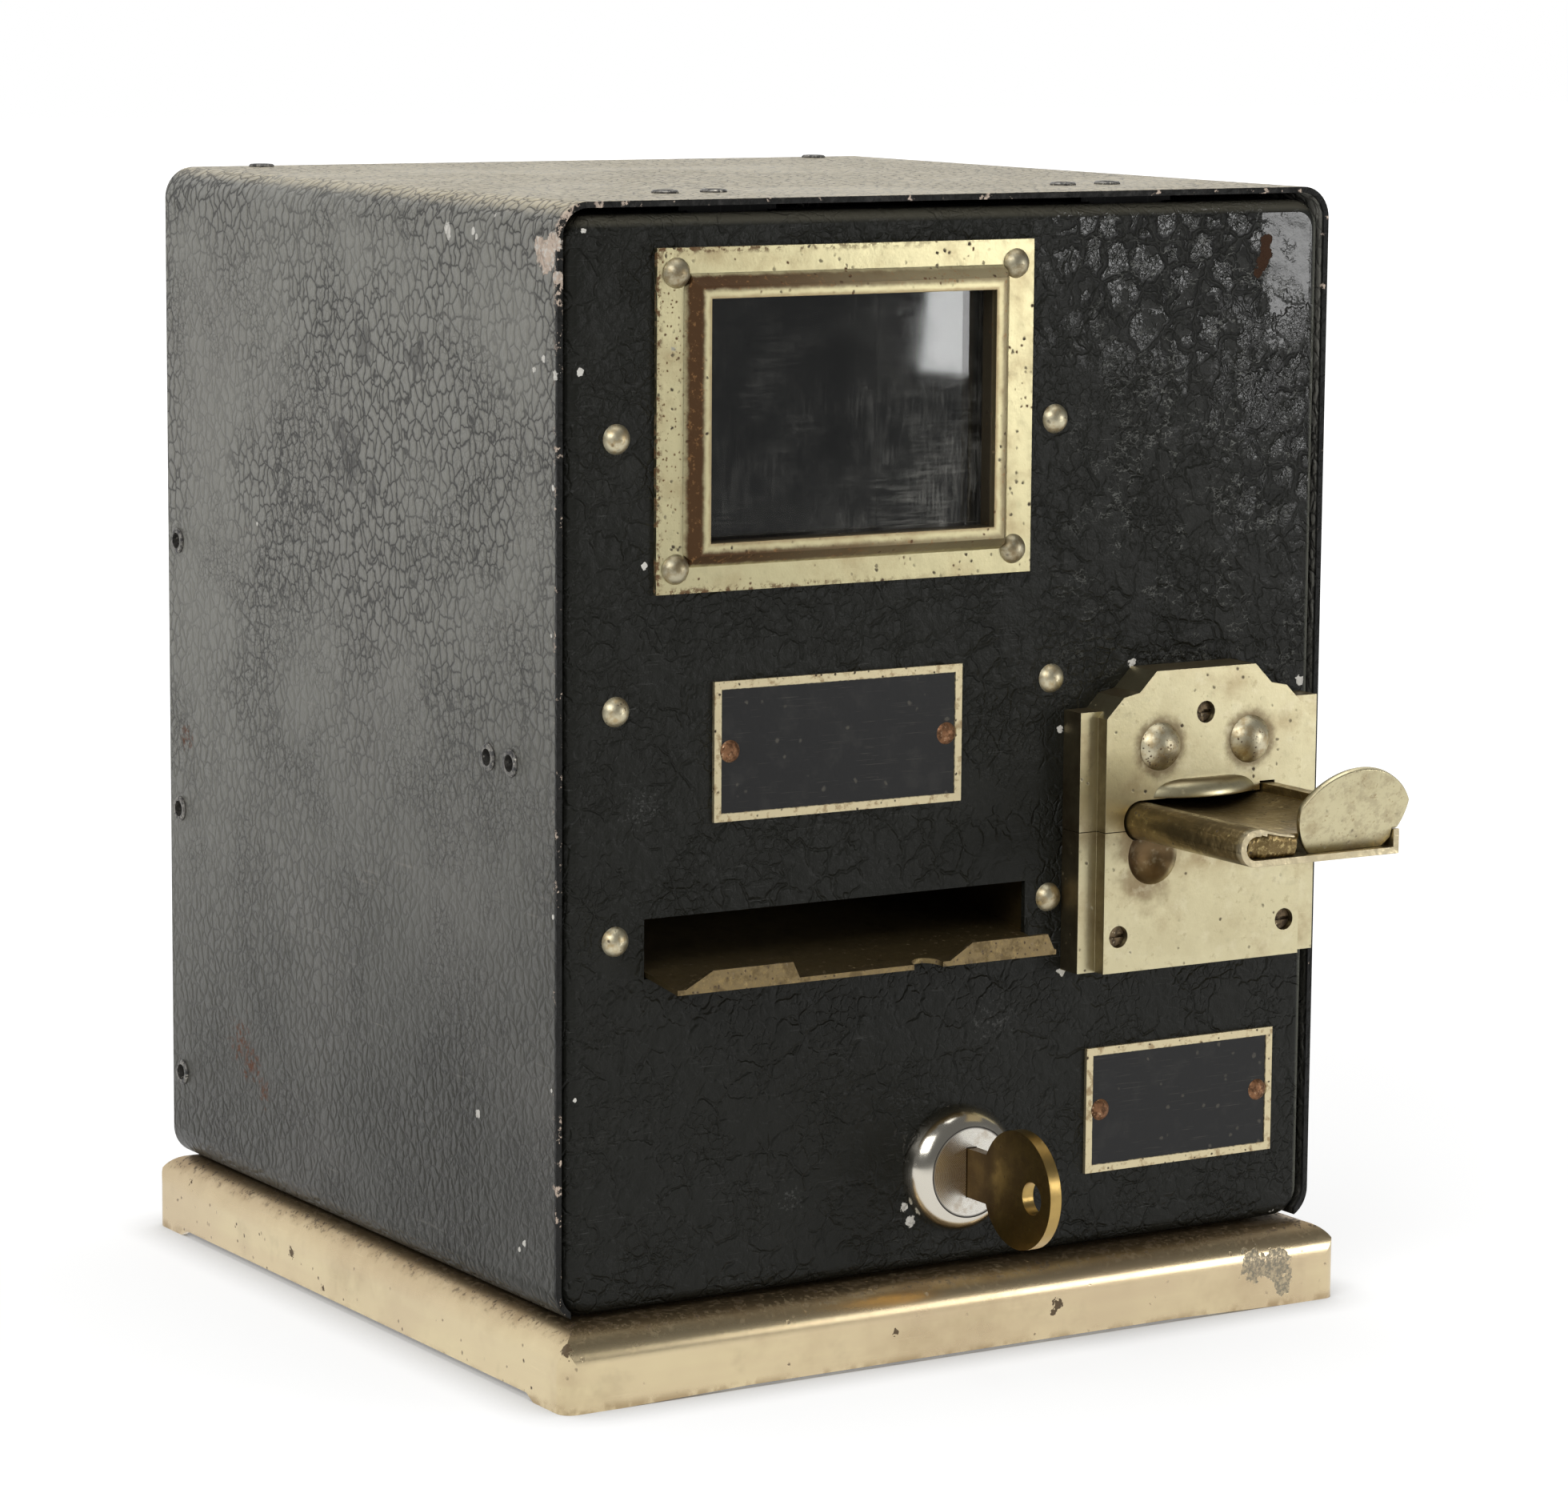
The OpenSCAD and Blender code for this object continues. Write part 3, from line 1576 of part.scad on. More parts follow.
module cam_nut() {
    y0 = cam_y + cam_t;
    color([0.6, 0.6, 0.58])
        at_front()
            difference() {
                translate([lock_x, y0, lock_z])
                    rotate([-90, 0, 0])
                        cylinder(h = 3, r = tail_r * 1.7, $fn = 6);
                rod([lock_x, lock_z], y0 - eps, y0 + 3 + eps, tail_r + fit);
            }
}

module key() {
    bow_y = -plug_face - bow_out;
    tip = blade_len - plug_face;
    cuts = [4, 9, 14];
    depths = [1.6, 2.6, 1.2];
    color([0.62, 0.45, 0.16])
        at_front()
            translate([lock_x, 0, lock_z])
                difference() {
                    union() {
                        rod_x([bow_y, 0], -bow_t / 2, bow_t / 2, bow_r);
                        box(-blade_t / 2, blade_t / 2, bow_y, tip, -blade_h / 2, blade_h / 2);
                    }
                    rod_x([bow_y - bow_r * 0.45, -0.6], -bow_t, bow_t, bow_hole_r);
                    for (i = [0 : 2])
                        bar(-blade_t, blade_t)
                            translate([cuts[i], -blade_h / 2])
                                polygon([[-2, -0.1], [2, -0.1], [0.7, depths[i]], [-0.7, depths[i]]]);
                }
}

base_pan();
base_board();
base_bolts();
base_nuts();
cabinet_wrap();
back_panel();
back_eyelets();
stop_bracket_left();
stop_bracket_right();
stop_eyelets();
hinge_leaf_left();
hinge_leaf_right();
hinge_eyelets();
lock_strike();
cash_box();
door_pan();
door_hinge_left();
door_hinge_right();
hinge_pins();
window_frame();
window_glass();
glass_retainer();
frame_screws();
frame_nuts();
price_plate();
price_rivets();
maker_plate();
maker_rivets();
chassis_rivets();
hopper_left();
hopper_right();
hopper_back();
hopper_floor();
delivery_tray();
coin_head_upper();
coin_head_lower();
coin_rivets();
coin_screws();
head_clamp();
rack_guide();
return_spring();
coin_chute();
lock_barrel();
lock_nut();
drum_bush_left();
drum_bush_right();
coin_slide();
thumb_tab();
drive_rack();
vend_drum();
drum_shaft();
drive_pinion();
lock_plug();
lock_cam();
cam_nut();
key();
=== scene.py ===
"""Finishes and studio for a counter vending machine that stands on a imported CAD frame."""

import math

import bpy
from bpy.props import FloatProperty, FloatVectorProperty, PointerProperty
from mathutils import Matrix, Quaternion, Vector


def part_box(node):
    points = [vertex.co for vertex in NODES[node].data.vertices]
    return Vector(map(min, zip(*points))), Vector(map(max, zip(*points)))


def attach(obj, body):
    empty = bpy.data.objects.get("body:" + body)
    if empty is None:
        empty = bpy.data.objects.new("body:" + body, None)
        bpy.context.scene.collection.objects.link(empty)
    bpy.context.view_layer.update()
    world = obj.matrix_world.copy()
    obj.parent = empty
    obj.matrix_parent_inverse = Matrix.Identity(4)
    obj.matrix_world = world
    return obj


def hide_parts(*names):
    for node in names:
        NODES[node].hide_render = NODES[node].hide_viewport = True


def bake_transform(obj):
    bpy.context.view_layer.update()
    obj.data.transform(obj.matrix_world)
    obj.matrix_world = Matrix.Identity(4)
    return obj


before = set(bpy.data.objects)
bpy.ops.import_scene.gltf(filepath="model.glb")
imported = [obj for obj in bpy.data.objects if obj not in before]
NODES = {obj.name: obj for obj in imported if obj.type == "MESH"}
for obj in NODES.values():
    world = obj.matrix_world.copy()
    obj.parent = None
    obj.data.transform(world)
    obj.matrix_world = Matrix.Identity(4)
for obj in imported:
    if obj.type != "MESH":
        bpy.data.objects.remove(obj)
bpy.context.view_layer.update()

bl_info = {
    "name": "Counter Vendor Finishes",
    "version": (1, 0, 0),
    "blender": (4, 5, 0),
    "location": "View3D > Sidebar > Vendor",
    "description": "Crackle paint, old plating, wear and a studio for a counter vending machine",
    "category": "Object",
}

MM = 0.001


def box_of(name):
    """Lowest and highest corner of a CAD node at rest, in millimetres."""
    return [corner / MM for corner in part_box(name)]


DOOR_LOW, DOOR_HIGH = box_of("door_pan")
DOOR_FRONT = DOOR_LOW.y
WRAP_LOW, WRAP_HIGH = box_of("cabinet_wrap")
BASE_LOW, BASE_HIGH = box_of("base_pan")
SLIDE_LOW, SLIDE_HIGH = box_of("coin_slide")
HEAD_LOW, HEAD_HIGH = box_of("coin_head_lower")
HEAD_MIDDLE = (SLIDE_LOW.x + SLIDE_HIGH.x) / 2
HEAD_FACE = HEAD_LOW.y


def colour_prop(name, description, default):
    """A colour that a user of the panel can change."""
    return FloatVectorProperty(
        name=name, description=description, subtype="COLOR", size=3, min=0, max=1, default=default
    )


def length_prop(name, description, millimetres):
    """A length that a user of the panel can change."""
    return FloatProperty(
        name=name, description=description, unit="LENGTH", min=0, precision=5, default=millimetres * MM
    )


class VendorPaint(bpy.types.PropertyGroup):
    """Colours and crackle of the painted sheet."""

    # The wrap's grey is lighter than its black paint: partly fading, partly painted sheen for the glare on
    # the side.
    wrap: colour_prop("Wrap", "Faded crackle paint on the wrap and back", (0.214, 0.211, 0.185))
    door: colour_prop("Door", "Black crackle paint on the door", (0.0092, 0.0095, 0.0072))
    crack: colour_prop("Crack", "Bottom of the cracks", (0.022, 0.021, 0.020))
    dust: colour_prop("Dust", "Pale dust on the top", (0.54, 0.47, 0.325))
    primer: colour_prop("Primer", "Bare primer where paint is knocked off", (0.52, 0.42, 0.34))
    chip: colour_prop("Chip", "Small pale chips", (0.62, 0.60, 0.55))
    rust: colour_prop("Rust", "Rust on painted sheet", (0.115, 0.042, 0.018))
    japan: colour_prop("Japan", "Thin black on the hopper plates", (0.006, 0.006, 0.006))
    enamel: colour_prop("Enamel", "Black field of the two plates", (0.010, 0.010, 0.010))
    border: colour_prop("Border", "Rubbed border of the two plates", (0.66, 0.57, 0.36))
    wrap_cell: length_prop("Wrap crackle", "Cell size of the crackle on the wrap", 2.7)
    door_cell: length_prop("Door crackle", "Cell size of the crackle on the door", 6.0)
    blister: length_prop("Blisters", "Cell size of the blisters at the door's upper right", 7.0)


class VendorMetal(bpy.types.PropertyGroup):
    """Colours of plated, rubbed and bare metal."""

    base: colour_prop("Base", "Old nickel plate on the base", (0.74, 0.62, 0.385))
    window: colour_prop("Window frame", "Nickel worn through to brass", (0.565, 0.51, 0.305))
    head: colour_prop("Coin head", "Nickel plate on the castings", (0.655, 0.59, 0.375))
    dome: colour_prop("Domes", "Plate on rivets and screws", (0.68, 0.62, 0.44))
    bronze: colour_prop("Bronze", "Tray and coin slide", (0.30, 0.22, 0.10))
    copper: colour_prop("Copper", "Rivets of the two plates", (0.30, 0.15, 0.075))
    eyelet: colour_prop("Eyelets", "Rings of the painted eyelets", (0.22, 0.21, 0.19))
    chrome: colour_prop("Scalp", "Bright scalp of the lock", (0.68, 0.64, 0.55))
    plug: colour_prop("Plug", "Turned face of the lock plug", (0.72, 0.69, 0.62))
    key: colour_prop("Key", "Brass key", (0.42, 0.275, 0.080))
    steel: colour_prop("Steel", "Bare sheet and bar inside", (0.42, 0.41, 0.39))
    bush: colour_prop("Bushes", "Brass bushes and pinion", (0.66, 0.50, 0.23))
    drum: colour_prop("Drum", "Turned alloy drum", (0.66, 0.66, 0.65))
    tarnish: colour_prop("Tarnish", "Brown film on old plate", (0.30, 0.20, 0.10))
    stain: colour_prop("Stain", "Dark specks where plate is gone", (0.050, 0.032, 0.018))


class VendorWorks(bpy.types.PropertyGroup):
    """Sizes of the pieces that are made here."""

    sheet: length_prop("Slide sheet", "Thickness of the slide's sheet", 1.4)
    roll: length_prop("Roll", "Outer radius of the slide's rolled edge", 3.75)
    dish: length_prop("Dish", "Depth of the slide's dished top", 2.2)
    rail: length_prop("Rail", "From the slide's right side to the far side of its rail", 6.4)
    fold: length_prop("Fold", "Width of the slide's front fold", 11.2)
    wire: length_prop("Wire", "Radius of the spring's wire", 0.5)
    turns: FloatProperty(name="Turns", description="Turns of the return spring", min=2, default=9)


class VendorStage(bpy.types.PropertyGroup):
    """Floor, backdrop and lamps."""

    floor: colour_prop("Floor", "Pale floor", (0.90, 0.90, 0.89))
    ambient: FloatProperty(name="Ambient", description="Light of the room on the part", min=0, default=0.42)
    front_dark: FloatProperty(name="Front", description="What gloss sees in front", min=0, default=0.16)
    key: FloatProperty(name="Key", description="Large lamp over the left front", unit="POWER", default=16)
    top: FloatProperty(name="Top", description="Large lamp overhead", unit="POWER", default=9)
    box: FloatProperty(name="Box", description="Small softbox at the right front", unit="POWER", default=2)


class PanelGroup:
    """One group of the panel's values, read from the scene each time."""

    def __init__(self, group):
        self._group = group

    def __getattr__(self, name):
        return getattr(getattr(bpy.context.scene, self._group), name)


PAINT, METAL = PanelGroup("vendor_paint"), PanelGroup("vendor_metal")
WORKS, STAGE = PanelGroup("vendor_works"), PanelGroup("vendor_stage")


class Value:
    """A socket that takes part in Python arithmetic by adding Math nodes."""

    def __init__(self, finish, socket):
        self.finish = finish
        self.socket = socket

    def math(self, operation, *others):
        return self.finish.math(operation, self, *others)

    def __add__(self, other):
        return self.math("ADD", other)

    def __sub__(self, other):
        return self.math("SUBTRACT", other)

    def __rsub__(self, other):
        return self.finish.math("SUBTRACT", other, self)

    def __mul__(self, other):
        return self.math("MULTIPLY", other)

    def __truediv__(self, other):
        return self.math("DIVIDE", other)

    def __abs__(self):
        return self.math("ABSOLUTE")

    __radd__ = __add__
    __rmul__ = __mul__

    def low(self, other):
        """The smaller of two values."""
        return self.math("MINIMUM", other)

    def high(self, other):
        """The larger of two values."""
        return self.math("MAXIMUM", other)

    def ease(self, start, end):
        """A smooth step from 0 at start to 1 at end."""
        return self.finish.node(
            "ShaderNodeMapRange",
            {"interpolation_type": "SMOOTHSTEP"},
            {"Value": self, "From Min": start, "From Max": end},
        )


class Nodes:
    """Makes the nodes of one tree."""

    def __init__(self, tree):
        self.tree = tree
        tree.nodes.clear()

    def node(self, kind, settings=None, inputs=None, output=0):
        """Any node: its settings first, then the values or links of its sockets. Gives one output."""
        made = self.tree.nodes.new(kind)
        for key, value in (settings or {}).items():
            setattr(made, key, value)
        for key, value in (inputs or {}).items():
            socket = made.inputs[key] if isinstance(key, int) else self.named(made.inputs, key)
            if isinstance(value, Value):
                self.tree.links.new(value.socket, socket)
            elif socket.type == "RGBA":
                socket.default_value = (*value[:3], 1.0)
            else:
                socket.default_value = value
        found = made.outputs[output] if isinstance(output, int) else self.named(made.outputs, output)
        return Value(self, found)

    @staticmethod
    def named(sockets, key):
        """The socket with this identifier or name."""
        return next((s for s in sockets if s.identifier == key), None) or sockets[key]

    def math(self, operation, *terms):
        return self.node("ShaderNodeMath", {"operation": operation}, dict(enumerate(terms)))

    def part(self, vector, letter):
        """One coordinate of a vector."""
        return self.node("ShaderNodeSeparateXYZ", None, {0: vector}, letter)

    def ray(self, kind):
        """1 for light that reaches the surface along this kind of ray, and 0 for any other."""
        return self.node("ShaderNodeLightPath", output=f"Is {kind} Ray")

    def vector(self, operation, first, second=None, scale=None, output="Vector"):
        """Vector arithmetic. Second is a vector or three numbers."""
        inputs = {0: first}
        if second is not None:
            inputs[1] = second
        if scale is not None:
            inputs["Scale"] = scale
        return self.node("ShaderNodeVectorMath", {"operation": operation}, inputs, output)

    def mix(self, mask, below, above):
        """A colour between below, where the mask is 0, and above, where it is 1."""
        return self.node(
            "ShaderNodeMix",
            {"data_type": "RGBA"},
            {"Factor_Float": mask, "A_Color": below, "B_Color": above},
            "Result_Color",
        )


# How far patterns with the next seed are shifted, in millimetres
SEED_STEP = (17.3, -11.9, 23.1)


class Finish(Nodes):
    """One material, built up in coats: each coat is laid through a mask over what is below it."""

    def __init__(self, name, tone=(0.5, 0.5, 0.5), rough=0.5, metal=0.0):
        self.material = bpy.data.materials.new(name)
        self.material.use_nodes = True
        super().__init__(self.material.node_tree)
        self.tone, self.rough, self.metal, self.height = tuple(tone), rough, metal, 0.0
        self.where = self.vector("SCALE", self.node("ShaderNodeTexCoord", output="Object"), scale=1 / MM)

    def axis(self, letter):
        """One coordinate of the surface point, in millimetres of the part's frame."""
        return self.part(self.where, letter)

    def facing(self, letter):
        """How far the surface faces along one axis, from -1 to 1."""
        return self.part(self.node("ShaderNodeNewGeometry", output="Normal"), letter)

    def moved(self, seed):
        """The surface point, shifted so that patterns with other seeds differ."""
        return self.vector("ADD", self.where, [step * seed for step in SEED_STEP]) if seed else self.where

    def noise(self, size, detail=3.0, rough=0.55, seed=0, where=None):
        """Cloudy noise from 0 to 1 with blobs of about this size in millimetres."""
        where = where or self.moved(seed)
        inputs = {"Vector": where, "Scale": 1 / size, "Detail": detail, "Roughness": rough}
        return self.node("ShaderNodeTexNoise", None, inputs)

    def bent(self, size, amount, seed=0, where=None):
        """The surface point, pushed about by noise of this size by up to this amount."""
        where = where or self.moved(seed)
        inputs = {"Vector": where, "Scale": 1 / size, "Detail": 2.0}
        push = self.vector("SUBTRACT", self.node("ShaderNodeTexNoise", None, inputs, 1), (0.5, 0.5, 0.5))
        return self.vector("ADD", where, self.vector("SCALE", push, scale=2 * amount))

    def seams(self, size, where):
        """Distance from the seams of a field of cells, in cells of this size."""
        inputs = {"Vector": where, "Scale": 1 / size}
        return self.node("ShaderNodeTexVoronoi", {"feature": "DISTANCE_TO_EDGE"}, inputs, "Distance")

    def pits(self, size, share, seed=0):
        """Scattered round specks: a share of the cells of this size has one."""
        where = self.bent(size, size * 0.3, seed)
        inputs = {"Vector": where, "Scale": 1 / size}
        near = self.node("ShaderNodeTexVoronoi", None, inputs, "Distance")
        colour = self.node("ShaderNodeTexVoronoi", None, inputs, "Color")
        pick = self.node("ShaderNodeSeparateColor", None, {0: colour}, 0)
        return (1 - near.ease(0.12, 0.34)) * pick.math("LESS_THAN", share)

    def streaks(self, stretch, seed=0):
        """Noise drawn out by these three factors, such as scratches or wiping marks."""
        where = self.vector("MULTIPLY", self.moved(seed), [1 / s for s in stretch])
        return self.noise(1.0, 2.0, 0.6, where=where)

    def spots(self, places, ragged=0.5, grain=1.6, soft=0.14):
        """Patches with torn edges: each place is a point and a radius in millimetres."""
        nearest = None
        for point, radius in places:
            reach = self.vector("DISTANCE", self.where, point, output="Value") / radius
            nearest = reach if nearest is None else nearest.low(reach)
        return 1 - (nearest + (self.noise(grain, 3.0) - 0.5) * (2 * ragged)).ease(1.0 - soft, 1.0)

    def ring(self, box, inset=(0, 0)):
        """Signed distance outside a box seen from the front, after its sides and ends are set in."""
        low, high = box
        across = abs(self.axis("X") - (low.x + high.x) / 2) - ((high.x - low.x) / 2 - inset[0])
        up = abs(self.axis("Z") - (low.z + high.z) / 2) - ((high.z - low.z) / 2 - inset[1])
        return across.high(up)

    def lay(self, mask, tone=None, rough=None, metal=None, lift=0.0):
        """One more coat: its colour, roughness, metalness and height in millimetres where the mask is 1."""
        if tone is not None:
            self.tone = self.mix(mask, self.tone, tone)
        if rough is not None:
            self.rough = self.rough + mask * (rough - self.rough)
        if metal is not None:
            self.metal = self.metal + mask * (metal - self.metal)
        if lift:
            self.height = self.height + mask * lift

    def close(self, gloss=None, **constants):
        """Puts the coats into one shader. Gloss is a mask and a roughness for a shiny skin over them."""
        inputs = {"Base Color": self.tone, "Roughness": self.rough, "Metallic": self.metal}
        if isinstance(self.height, Value):
            inputs["Normal"] = self.node("ShaderNodeBump", None, {"Distance": MM, "Height": self.height})
        shader = self.node("ShaderNodeBsdfPrincipled", None, {**inputs, **constants})
        if gloss:
            skin = self.node("ShaderNodeBsdfPrincipled", None, {**inputs, "Roughness": gloss[1]})
            shader = self.node("ShaderNodeMixShader", None, {0: gloss[0], 1: shader, 2: skin})
        self.show(shader)
        return self.material

    def show(self, shader):
        """Links a shader to the material's output."""
        out = self.tree.nodes.new("ShaderNodeOutputMaterial")
        self.tree.links.new(shader.socket, out.inputs["Surface"])


def dress(material, *names):
    """Gives CAD nodes one material in place of their own."""
    for name in names:
        slots = NODES[name].data.materials
        slots.clear()
        slots.append(material)


# Softened edges: corners nearer than this in millimetres are one, and the angles of flat and sharp edges
WELD_REACH = 0.002
FLAT_ANGLE = math.radians(0.6)
SHARP_ANGLE = math.radians(32)


def soften(width, *names):
    """Rounds the sharp edges of CAD nodes by a width in millimetres, as wear does."""
    for name in names:
        weld = NODES[name].modifiers.new("weld", "WELD")
        weld.merge_threshold = WELD_REACH * MM
        flat = NODES[name].modifiers.new("flat_faces", "DECIMATE")
        flat.decimate_type = "DISSOLVE"
        flat.angle_limit = FLAT_ANGLE
        bevel = NODES[name].modifiers.new("worn_edges", "BEVEL")
        bevel.width = width * MM
        bevel.segments = 2
        bevel.limit_method = "ANGLE"
        bevel.angle_limit = SHARP_ANGLE
        bevel.harden_normals = True


def grid_piece(name, rows, material, body=None, closed=False):
    """A smooth surface through rows of points in millimetres, which rides on a body if one is named."""
    count = len(rows[0])
    points = [Vector(point) * MM for row in rows for point in row]
    faces = []
    for i in range(len(rows) - 1):
        for j in range(count if closed else count - 1):
            k = (j + 1) % count
            faces.append((i * count + j, i * count + k, (i + 1) * count + k, (i + 1) * count + j))
    if closed:
        faces += [tuple(range(count))[::-1], tuple(len(points) - count + j for j in range(count))]
    mesh = bpy.data.meshes.new(name)
    mesh.from_pydata(points, [], faces)
    mesh.shade_smooth()
    mesh.materials.append(material)
    piece = bpy.data.objects.new(name, mesh)
    bpy.context.scene.collection.objects.link(piece)
    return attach(piece, body) if body else piece


def on_side(*places):
    """Spots on the wrap's left side, each from its y, z and radius."""
    return [((WRAP_LOW.x, y, z), radius) for y, z, radius in places]


def on_front(*places, y=DOOR_FRONT):
    """Spots on the door's front, or on another plane across y, each from its x, z and radius."""
    return [((x, y, z), radius) for x, z, radius in places]


def domes(name):
    """Radius of a pair of dome heads on the coin head, and their middles, left and right."""
    low, high = box_of(name)
    radius = (high.z - low.z) / 2
    return radius, [(x, HEAD_FACE, (low.z + high.z) / 2) for x in (low.x + radius, high.x - radius)]


# Paint


def wrap_crackle():
    """Crackle paint with knocked edges, as on the wrap; its grey is partly faded paint and partly painted
    sheen for the glare on black paint.
    """
    f = Finish("wrap_crackle", PAINT.wrap, 0.38)
    up = f.axis("Z")
    cell = PAINT.wrap_cell / MM
    tall = f.vector("MULTIPLY", f.bent(3.4, 1.5), (1.0, 1.0, 0.74))
    wide = 1 - f.seams(cell, tall).ease(0.0, 0.11)
    fine = 1 - f.seams(cell * 0.5, f.bent(1.6, 0.5, 4)).ease(0.0, 0.13)
    worn = f.noise(44, 3, 0.5, 6).ease(0.36, 0.58)
    # Darker towards the bottom of the wrap: painted shade.
    height = up + f.axis("Y") * 0.32 + (f.noise(50, 3, seed=8) - 0.5) * 40
    f.lay(1 - height.ease(0, 195), (0.016, 0.0165, 0.0108))
    f.lay(f.noise(70, 4, 0.6, 9).ease(0.45, 0.75) * 0.2, (0.165, 0.152, 0.138), 0.38)
    f.lay(f.noise(0.5, 2) * 0.25, (0.16, 0.155, 0.145), 0.44, lift=0.02)
    f.lay(fine * f.noise(22, 2, seed=2).ease(0.42, 0.66) * 0.55, PAINT.crack, 0.6, lift=-0.04)
    f.lay(wide * (0.3 + 0.7 * worn) * (0.4 + 0.45 * up.ease(90, 160)), PAINT.crack, 0.6, lift=-0.14)
    f.lay(f.seams(cell, tall).ease(0.0, 0.30) * (0.45 + 0.55 * worn), lift=0.34)
    f.lay(f.noise(1.8, 3, seed=3), lift=0.30)
    wiped = f.streaks((26, 26, 1.0), 5).ease(0.62, 0.72) * f.noise(20, 2, seed=9).ease(0.52, 0.7)
    f.lay(wiped * 0.35, (0.24, 0.22, 0.19))
    smudged = on_side(
        (1.0, 175.7, 5), (6.0, 182.0, 3), (-4.5, 200.2, 4), (-27.0, 199.0, 4), (-8.0, 171.0, 3),
    )
    f.lay(f.spots(smudged, 1.5, 2.6) * 0.5, (0.045, 0.043, 0.040), 0.5)
    rim = 1 - (f.axis("Y") - WRAP_LOW.y).ease(0.5, 1.0)
    f.lay(rim, (0.007, 0.007, 0.006), 0.6)
    knocked = f.noise(2.6, 4, 0.7, 11) + 0.09 * (up - WRAP_HIGH.z).ease(-40, -8)
    knocked = knocked - 0.10 * f.axis("X").ease(-88, -60)
    lip = (rim + (1 - (f.axis("Y") - WRAP_LOW.y).ease(0.8, 2.0)) * 0.6).low(1.0)
    f.lay(lip * knocked.ease(0.60, 0.66), PAINT.primer, 0.7, lift=-0.05)
    high = f.facing("Z").ease(0.55, 0.95) * (up - WRAP_HIGH.z).ease(-5.0, -1.0)
    f.lay(high * (0.45 + 0.55 * f.noise(7, 4, 0.65, 12)) * (1 - 0.75 * wide), PAINT.dust, 0.42)
    edge = (up - WRAP_HIGH.z).ease(-7.0, -2.0) * (1 - high)
    f.lay(edge * f.noise(3.0, 4, 0.7, 13).ease(0.50, 0.64) * 0.4, (0.045, 0.042, 0.038), 0.5)
    rusty = on_side((53.5, 47.5, 5.5), (49, 43, 4.5), (43.2, 38.6, 3.2), (79.1, 110.1, 3.2))
    flecks = f.noise(1.1, 4, 0.75, 15).ease(0.44, 0.54)
    f.lay(f.spots(rusty, 1.6, 2.0, 0.8) * flecks * 0.9, PAINT.rust, 0.75)
    bare = on_side((-79.6, 221.6, 3.4), (-82.0, 224.4, 2.2), (-83.2, 217.8, 1.5), (-77.0, 223.5, 2.0))
    torn = f.spots(bare, 0.6, 1.5)
    f.lay(torn, PAINT.primer, 0.8, lift=-0.14)
    f.lay(torn * f.noise(1.2, 4, 0.7, 14).ease(0.5, 0.6) * 0.7, PAINT.chip, 0.8)
    pale = on_side(
        (-40.2, 225.0, 1.3), (-40.6, 223.6, 0.8), (-50.6, 225.1, 0.8), (-52.0, 224.0, 0.6),
        (-58.0, 228.9, 0.9), (-78.4, 202.4, 0.8), (-74.7, 199.9, 0.7), (-83.0, 199.5, 1.0),
        (-82.2, 178.2, 0.6), (-52.2, 51.8, 0.9), (-71.0, 29.8, 0.7), (-69.1, 28.0, 0.6),
        (44.3, 159.4, 0.4), (-81.5, 150.0, 0.4), (-82.4, 96.0, 0.5), (-81.8, 62.0, 0.4),
    )
    f.lay(f.spots(pale, 0.9, 0.8), PAINT.chip, 0.75, lift=-0.12)
    return f.close(**{"Specular IOR Level": 0.3})


